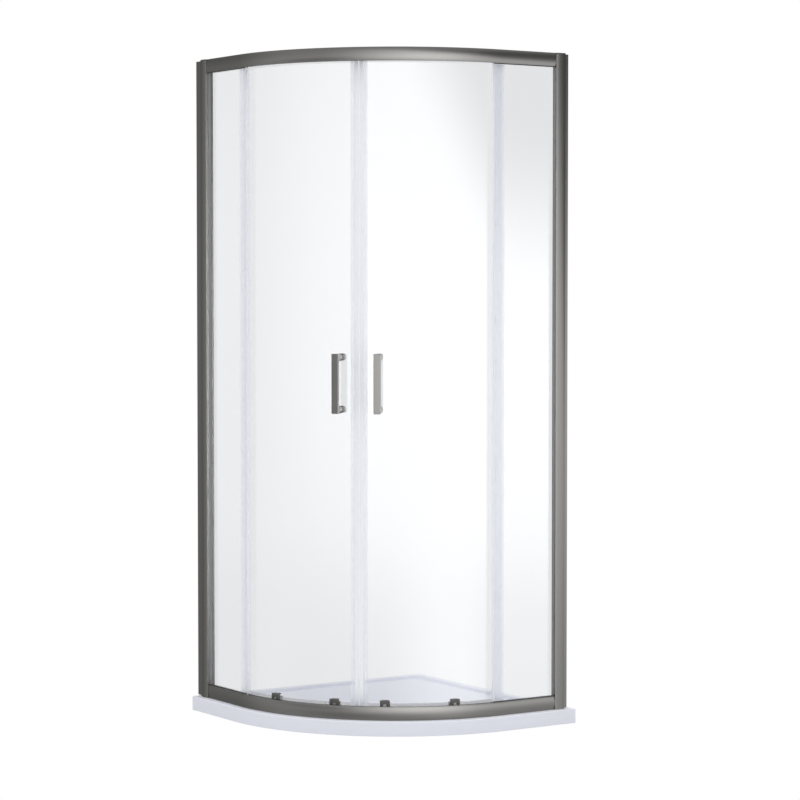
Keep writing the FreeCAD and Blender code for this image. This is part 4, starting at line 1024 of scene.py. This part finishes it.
for end, level in (("top", TOP_AXLE), ("bottom", BOTTOM_AXLE)):
    for roller, angle in ROLLERS.items():
        bm = bmesh.new()
        lathe(bm, spoke(angle, level), wheel_line)
        add_pair("%s_%s_wheel" % (end, roller), bm, turned_nylon, "%s_roller_{}_%s" % (end, roller),
                 "nylon", "%s_wheel_{}_%s" % (end, roller))

bm = bmesh.new()
head_end = GLASS_REAR - BOLT_HEAD_THICK
bolt_collar = GLASS_FACE + BOLT_COLLAR_THICK
bolt_dish = head_end + BOLT_HEAD_THICK / 2
axle_start = wheel_rear - WHEEL_PLAY
axle_end = wheel_front + WHEEL_PLAY
axle_tip = axle_end + FLANGE_THICK
for angle in ROLLERS.values():
    lathe(bm, spoke(angle, TOP_AXLE), (
        (bolt_dish, 0), (bolt_dish, BOLT_SOCKET), (head_end, BOLT_SOCKET),
        (head_end, BOLT_HEAD - BOLT_HEAD_THICK / 2), (bolt_dish, BOLT_HEAD), (GLASS_REAR, BOLT_HEAD),
        (GLASS_REAR, BOLT_SHANK), (GLASS_FACE, BOLT_SHANK), (GLASS_FACE, BOLT_COLLAR),
        (bolt_collar, BOLT_COLLAR), (bolt_collar, SHOULDER), (axle_start, SHOULDER), (axle_start, AXLE),
        (axle_end, AXLE), (axle_end, FLANGE), (axle_tip - FLANGE_EDGE, FLANGE),
        (axle_tip, FLANGE - FLANGE_EDGE), (axle_tip, 0)))
add_pair("top_roller_bolt_set", bm, satin_steel, "{}_door", "steel", "top_roller_bolts_{}")

# Quick-release rollers: a grey moulded housing clamped round the foot of the glass by a flush screw.
# Behind it a sprung slider carries the wheel; its button frees the foot of the door for cleaning.
HOUSING_CAP = 3.5 * MM
HOUSING_EDGE = 0.3 * MM
CLAMP_HEAD = 5 * MM
CLAMP_RADIUS = 2.5 * MM
CLAMP_HEAD_THICK = 1.5 * MM
CLAMP_REACH = 9.7 * MM
CLAMP_END = GLASS_REAR - CLAMP_REACH
SOCKET_RADIUS = 2.1 * MM
SOCKET_DEPTH = 0.9 * MM
SLIDER_INSET = 42.5 * MM
COIL_RADIUS = 1.9 * MM
COIL_WIRE = 0.35 * MM
COIL_TURNS = 4
COIL_STEPS = 28
WIRE_STEPS = 10
MERGE_REACH = 0.002 * MM
FLAT = math.radians(0.5)
grey = Finish("roller_plastic")
roller_plastic = grey.set(
    Base_Color=grey.between(grey.noise(120.0), (0.085, 0.084, 0.081), (0.115, 0.114, 0.11)),
    Roughness=0.36 + 0.16 * grey.noise(700.0),
    Normal=grey.bump(grey.noise(1600.0), 0.12, 0.05 * MM))


def refined(node):
    """A merged copy of a frame piece, with its flat faces made whole."""
    bm = bmesh.new()
    bm.from_mesh(frame["nodes"][node].data)
    bmesh.ops.remove_doubles(bm, verts=bm.verts, dist=MERGE_REACH)
    bmesh.ops.dissolve_limit(bm, angle_limit=FLAT, use_dissolve_boundaries=False,
                             verts=bm.verts, edges=bm.edges)
    return bm


for side in SIDES:
    add_piece("roller_housing_set_" + side, refined("roller_housings_" + side), roller_plastic,
              side + "_door", "roller_plastic", "roller_housings_" + side)
    for roller in ROLLERS:
        tag = "_%s_%s" % (side, roller)
        add_piece("release_slider" + tag, refined("roller_slider" + tag), roller_plastic, "slider" + tag,
                  "roller_plastic", "roller_slider" + tag)

bm = bmesh.new()
cap_front = GLASS_FACE + HOUSING_CAP
cap_seat = cap_front - CLAMP_HEAD_THICK
for angle in ROLLERS.values():
    lathe(bm, spoke(angle, CLAMP), (
        (CLAMP_END, 0), (CLAMP_END, CLAMP_RADIUS), (cap_seat, CLAMP_RADIUS), (cap_seat, CLAMP_HEAD),
        (cap_front - HOUSING_EDGE, CLAMP_HEAD), (cap_front, CLAMP_HEAD - HOUSING_EDGE),
        (cap_front, SOCKET_RADIUS), (cap_front - SOCKET_DEPTH, SOCKET_RADIUS),
        (cap_front - SOCKET_DEPTH, 0)))
add_pair("housing_screw_set", bm, satin_steel, "{}_door", "steel", "housing_screws_{}")

for roller, angle in ROLLERS.items():
    spring_low, spring_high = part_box("release_spring_right_" + roller)
    bm = bmesh.new()
    start = Vector((COIL_RADIUS, 0, spring_low.z + COIL_WIRE))
    across_wire = Matrix.Translation(start) @ Matrix.Rotation(math.pi / 2, 4, "X")
    wire = bmesh.ops.create_circle(bm, radius=COIL_WIRE, segments=WIRE_STEPS, matrix=across_wire)["verts"]
    wire_start = edges_of(wire)
    steps = COIL_TURNS * COIL_STEPS
    climb = (spring_high.z - spring_low.z - 2 * COIL_WIRE) / steps
    wire_end = spin_loop(bm, wire_start, 2 * math.pi * COIL_TURNS, steps, climb)
    close_ends(bm, wire_start, wire_end)
    seat = spoke(angle) @ Matrix.Translation((FACE - SLIDER_INSET, 0, 0))
    bmesh.ops.transform(bm, matrix=seat, verts=bm.verts)
    travel = named(frame["joints"], "release_right_" + roller)["range_m"][1]
    coils = add_pair("release_coil_" + roller, bm, satin_steel, "{}_door", "steel",
                     "release_spring_{}_" + roller)
    for side, coil in zip(SIDES, coils):
        "release_%s_%s" % (side, roller)
        1 - travel / (spring_high.z - spring_low.z)
        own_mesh(coil)

# Floor and studio: a paper floor and a white surround, both plain white to the camera, under one large
# soft lamp. The floor otherwise only bounces soft light: reflections and rays through glass miss it.
FLOOR_SIZE = 30
FLOOR_PAPER = (0.9, 0.9, 0.9, 1)
WHITE = (1, 1, 1, 1)
SKY_FILL = 0.77
KEY_SIDE = 5.0
KEY_POWER = 240
KEY_SPOT = Vector((0.5, -0.5, 7.5))
KEY_AIM = Vector((0, 0, 0.4))


def seen_directly(ink):
    """1 for rays from the camera or through glass, and 0 for the light that falls on the object."""
    from_camera = ink.node("LightPath", {}, {}, "Is Camera Ray")
    return ink.math("MINIMUM", from_camera + from_camera.beside("Is Transmission Ray"), 1.0)


paper = Finish("floor_paper")
paper.set(Base_Color=FLOOR_PAPER, Roughness=0.9)
matt = Ink(paper.ink.tree, paper.shader.outputs[0])
glow = paper.ink.node("Emission", {}, {"Color": WHITE, "Strength": 1.0})
floor_mix = paper.ink.node("MixShader", {}, {0: seen_directly(paper.ink), 1: matt, 2: glow})
paper.ink.feed(paper.ink.tree.nodes["Material Output"], {"Surface": floor_mix})
bm = bmesh.new()
bmesh.ops.create_grid(bm, x_segments=1, y_segments=1, size=FLOOR_SIZE)
studio_floor = link_mesh("studio_floor", bm, paper.material)
studio_floor.visible_glossy = False
studio_floor.visible_transmission = False

world = bpy.data.worlds.new("white_studio")
bpy.context.scene.world = world
world.use_nodes = True
sky = Ink(world.node_tree)
sky.feed(world.node_tree.nodes["Background"],
         {"Color": WHITE, "Strength": SKY_FILL + (1 - SKY_FILL) * seen_directly(sky)})

key = bpy.data.lights.new("key", "AREA")
key.shape = "SQUARE"
key.size = KEY_SIDE
key.energy = KEY_POWER
lamp = bpy.data.objects.new("key", key)
lamp.location = KEY_SPOT
lamp.rotation_euler = (KEY_AIM - KEY_SPOT).to_track_quat("-Z", "Y").to_euler()
lamp.visible_glossy = False
bpy.context.scene.collection.objects.link(lamp)

# Reflection wall: a round studio wall that only reflections see, dim at the left and brighter at the
# right, up to a soft top edge that slants down to the right. It is shaped apart for satin metal and for
# the sharp reflections in glass. Bearings are degrees about the curve's centre, levels are metres.
WALL_REACH = 3.0
WALL_FOOT = -2.0
WALL_HEIGHT = 5.4
WALL_GLOW = 4.5
METAL_BROW = 2.4
METAL_SLANT = 0.028
METAL_RISE = 3.5
GLASS_BROW = 1.97
GLASS_SLANT = 0.0145
GLASS_RISE = 2.5
BROW_SOFT = 0.4
glowing = Finish("wall_glow")
wall_x = glowing.ink.node("SeparateXYZ", {}, {"Vector": glowing.spot})
wall_z = wall_x.beside("Z")
bearing = glowing.ink.math("ARCTAN2", wall_x.beside("Y"), wall_x) * math.degrees(1)
in_glass = glowing.ink.node("LightPath", {}, {}, "Is Singular Ray")


def ramp(value, start, end, first, last):
    """A soft step from one level to another."""
    return glowing.ink.node("MapRange", {"interpolation_type": "SMOOTHSTEP"}, {
        "Value": value, "From Min": start, "From Max": end, "To Min": first, "To Max": last})


def by_finish(metal, glass):
    """One value for reflections in satin metal, and another for the sharp ones in glass."""
    return metal + in_glass * (glass - metal)


glass_sides = ((ramp(bearing, -150, -55, 0.26, 0.76) + ramp(bearing, -58, -47, 0.0, 0.24))
               * ramp(bearing, 40, 85, 1.0, 0.5))
metal_sides = (ramp(bearing, -170, -90, 0.06, 0.25) + ramp(bearing, -75, -15, 0.0, 0.5)
               - ramp(bearing, -8, 18, 0.0, 0.31) - ramp(bearing, 35, 70, 0.0, 0.2)
               + ramp(bearing, 75, 110, 0.0, 0.2) - ramp(bearing, 118, 148, 0.0, 0.27))
# A dim band at mid height towards the front left, seen only in satin metal: painted shade that darkens the
# reflections in the left-hand handle.
waist_shade = ramp(wall_z, 0.5, 0.75, 0.0, 0.22) * ramp(wall_z, 1.0, 1.25, 1.0, 0.0)
front_left = ramp(bearing, -115, -90, 0.0, 1.0) * ramp(bearing, -66, -48, 1.0, 0.0)
sides = by_finish(metal_sides - waist_shade * front_left, glass_sides)
behind = ramp(bearing, 60, 105, 0.0, 1.0)
brow_level = by_finish(METAL_BROW - METAL_SLANT * bearing + METAL_RISE * behind,
                       GLASS_BROW - GLASS_SLANT * bearing + GLASS_RISE * behind)
below_brow = (ramp(wall_z - brow_level, -BROW_SOFT, BROW_SOFT, 1.0, 0.16 - 0.06 * in_glass)
              * ramp(wall_z, 1.3, 2.6, 1.0, 0.75))
off_centre = (ramp(bearing, -140, -80, 0.25, 1.0) - ramp(bearing, -50, 0, 0.0, 0.9)
              + ramp(bearing, 8, 35, 0.0, 0.7))
glass_foot = off_centre * ramp(wall_z, -0.7, 0.9, 0.65, 0.0) + ramp(wall_z, -0.05, 0.4, 0.18, 0.0)
metal_foot = ((ramp(bearing, -120, -45, 0.25, 1.0) - ramp(bearing, -15, 5, 0.0, 0.25))
              * ramp(wall_z, -0.9, 1.1, 0.7, 0.0))
near_floor = 1 - by_finish(metal_foot, glass_foot)
glow = glowing.between(sides * below_brow * near_floor, (0, 0, 0), (1, 1, 1))
wall_light = glowing.ink.node("Emission", {}, {"Color": glow, "Strength": WALL_GLOW})
unlit = glowing.ink.node("BsdfTransparent", {}, {})
reflected = glowing.ink.math("MINIMUM", in_glass.beside("Glossy Depth"), 1.0)
wall_mix = glowing.ink.node("MixShader", {}, {0: reflected, 1: unlit, 2: wall_light})
glowing.ink.feed(glowing.ink.tree.nodes["Material Output"], {"Surface": wall_mix})
bm = bmesh.new()
wall_foot = circle_line(bm, WALL_REACH, Matrix.Translation((0, 0, WALL_FOOT)))
extrude_loop(bm, wall_foot, (0, 0, WALL_HEIGHT))
studio_wall = link_mesh("studio_wall", bm, glowing.material)
studio_wall.location = (CURVE.x, CURVE.y, 0)
studio_wall.visible_camera = False
studio_wall.visible_diffuse = False
studio_wall.visible_shadow = False

# Camera: a long lens some seven metres off, a little above the middle of the enclosure. It stands
# towards the right-hand side of the curve and dips slightly.
CAMERA_TURN = math.radians(57.169)
CAMERA_SWING = math.radians(56.745)
CAMERA_DIP = math.radians(2.508)
CAMERA_REACH = 7.3701
CAMERA_LEVEL = 1.2342
LENS = 115.832
SENSOR = 36
eye = bpy.data.cameras.new("camera")
eye.lens = LENS
eye.sensor_width = SENSOR
camera = bpy.data.objects.new("camera", eye)
camera.location = (math.sin(CAMERA_TURN) * CAMERA_REACH, -math.cos(CAMERA_TURN) * CAMERA_REACH,
                   CAMERA_LEVEL)
camera.rotation_euler = (math.pi / 2 - CAMERA_DIP, 0, CAMERA_SWING)
bpy.context.scene.collection.objects.link(camera)
bpy.context.scene.camera = camera
bpy.context.scene.view_settings.view_transform = "Standard"
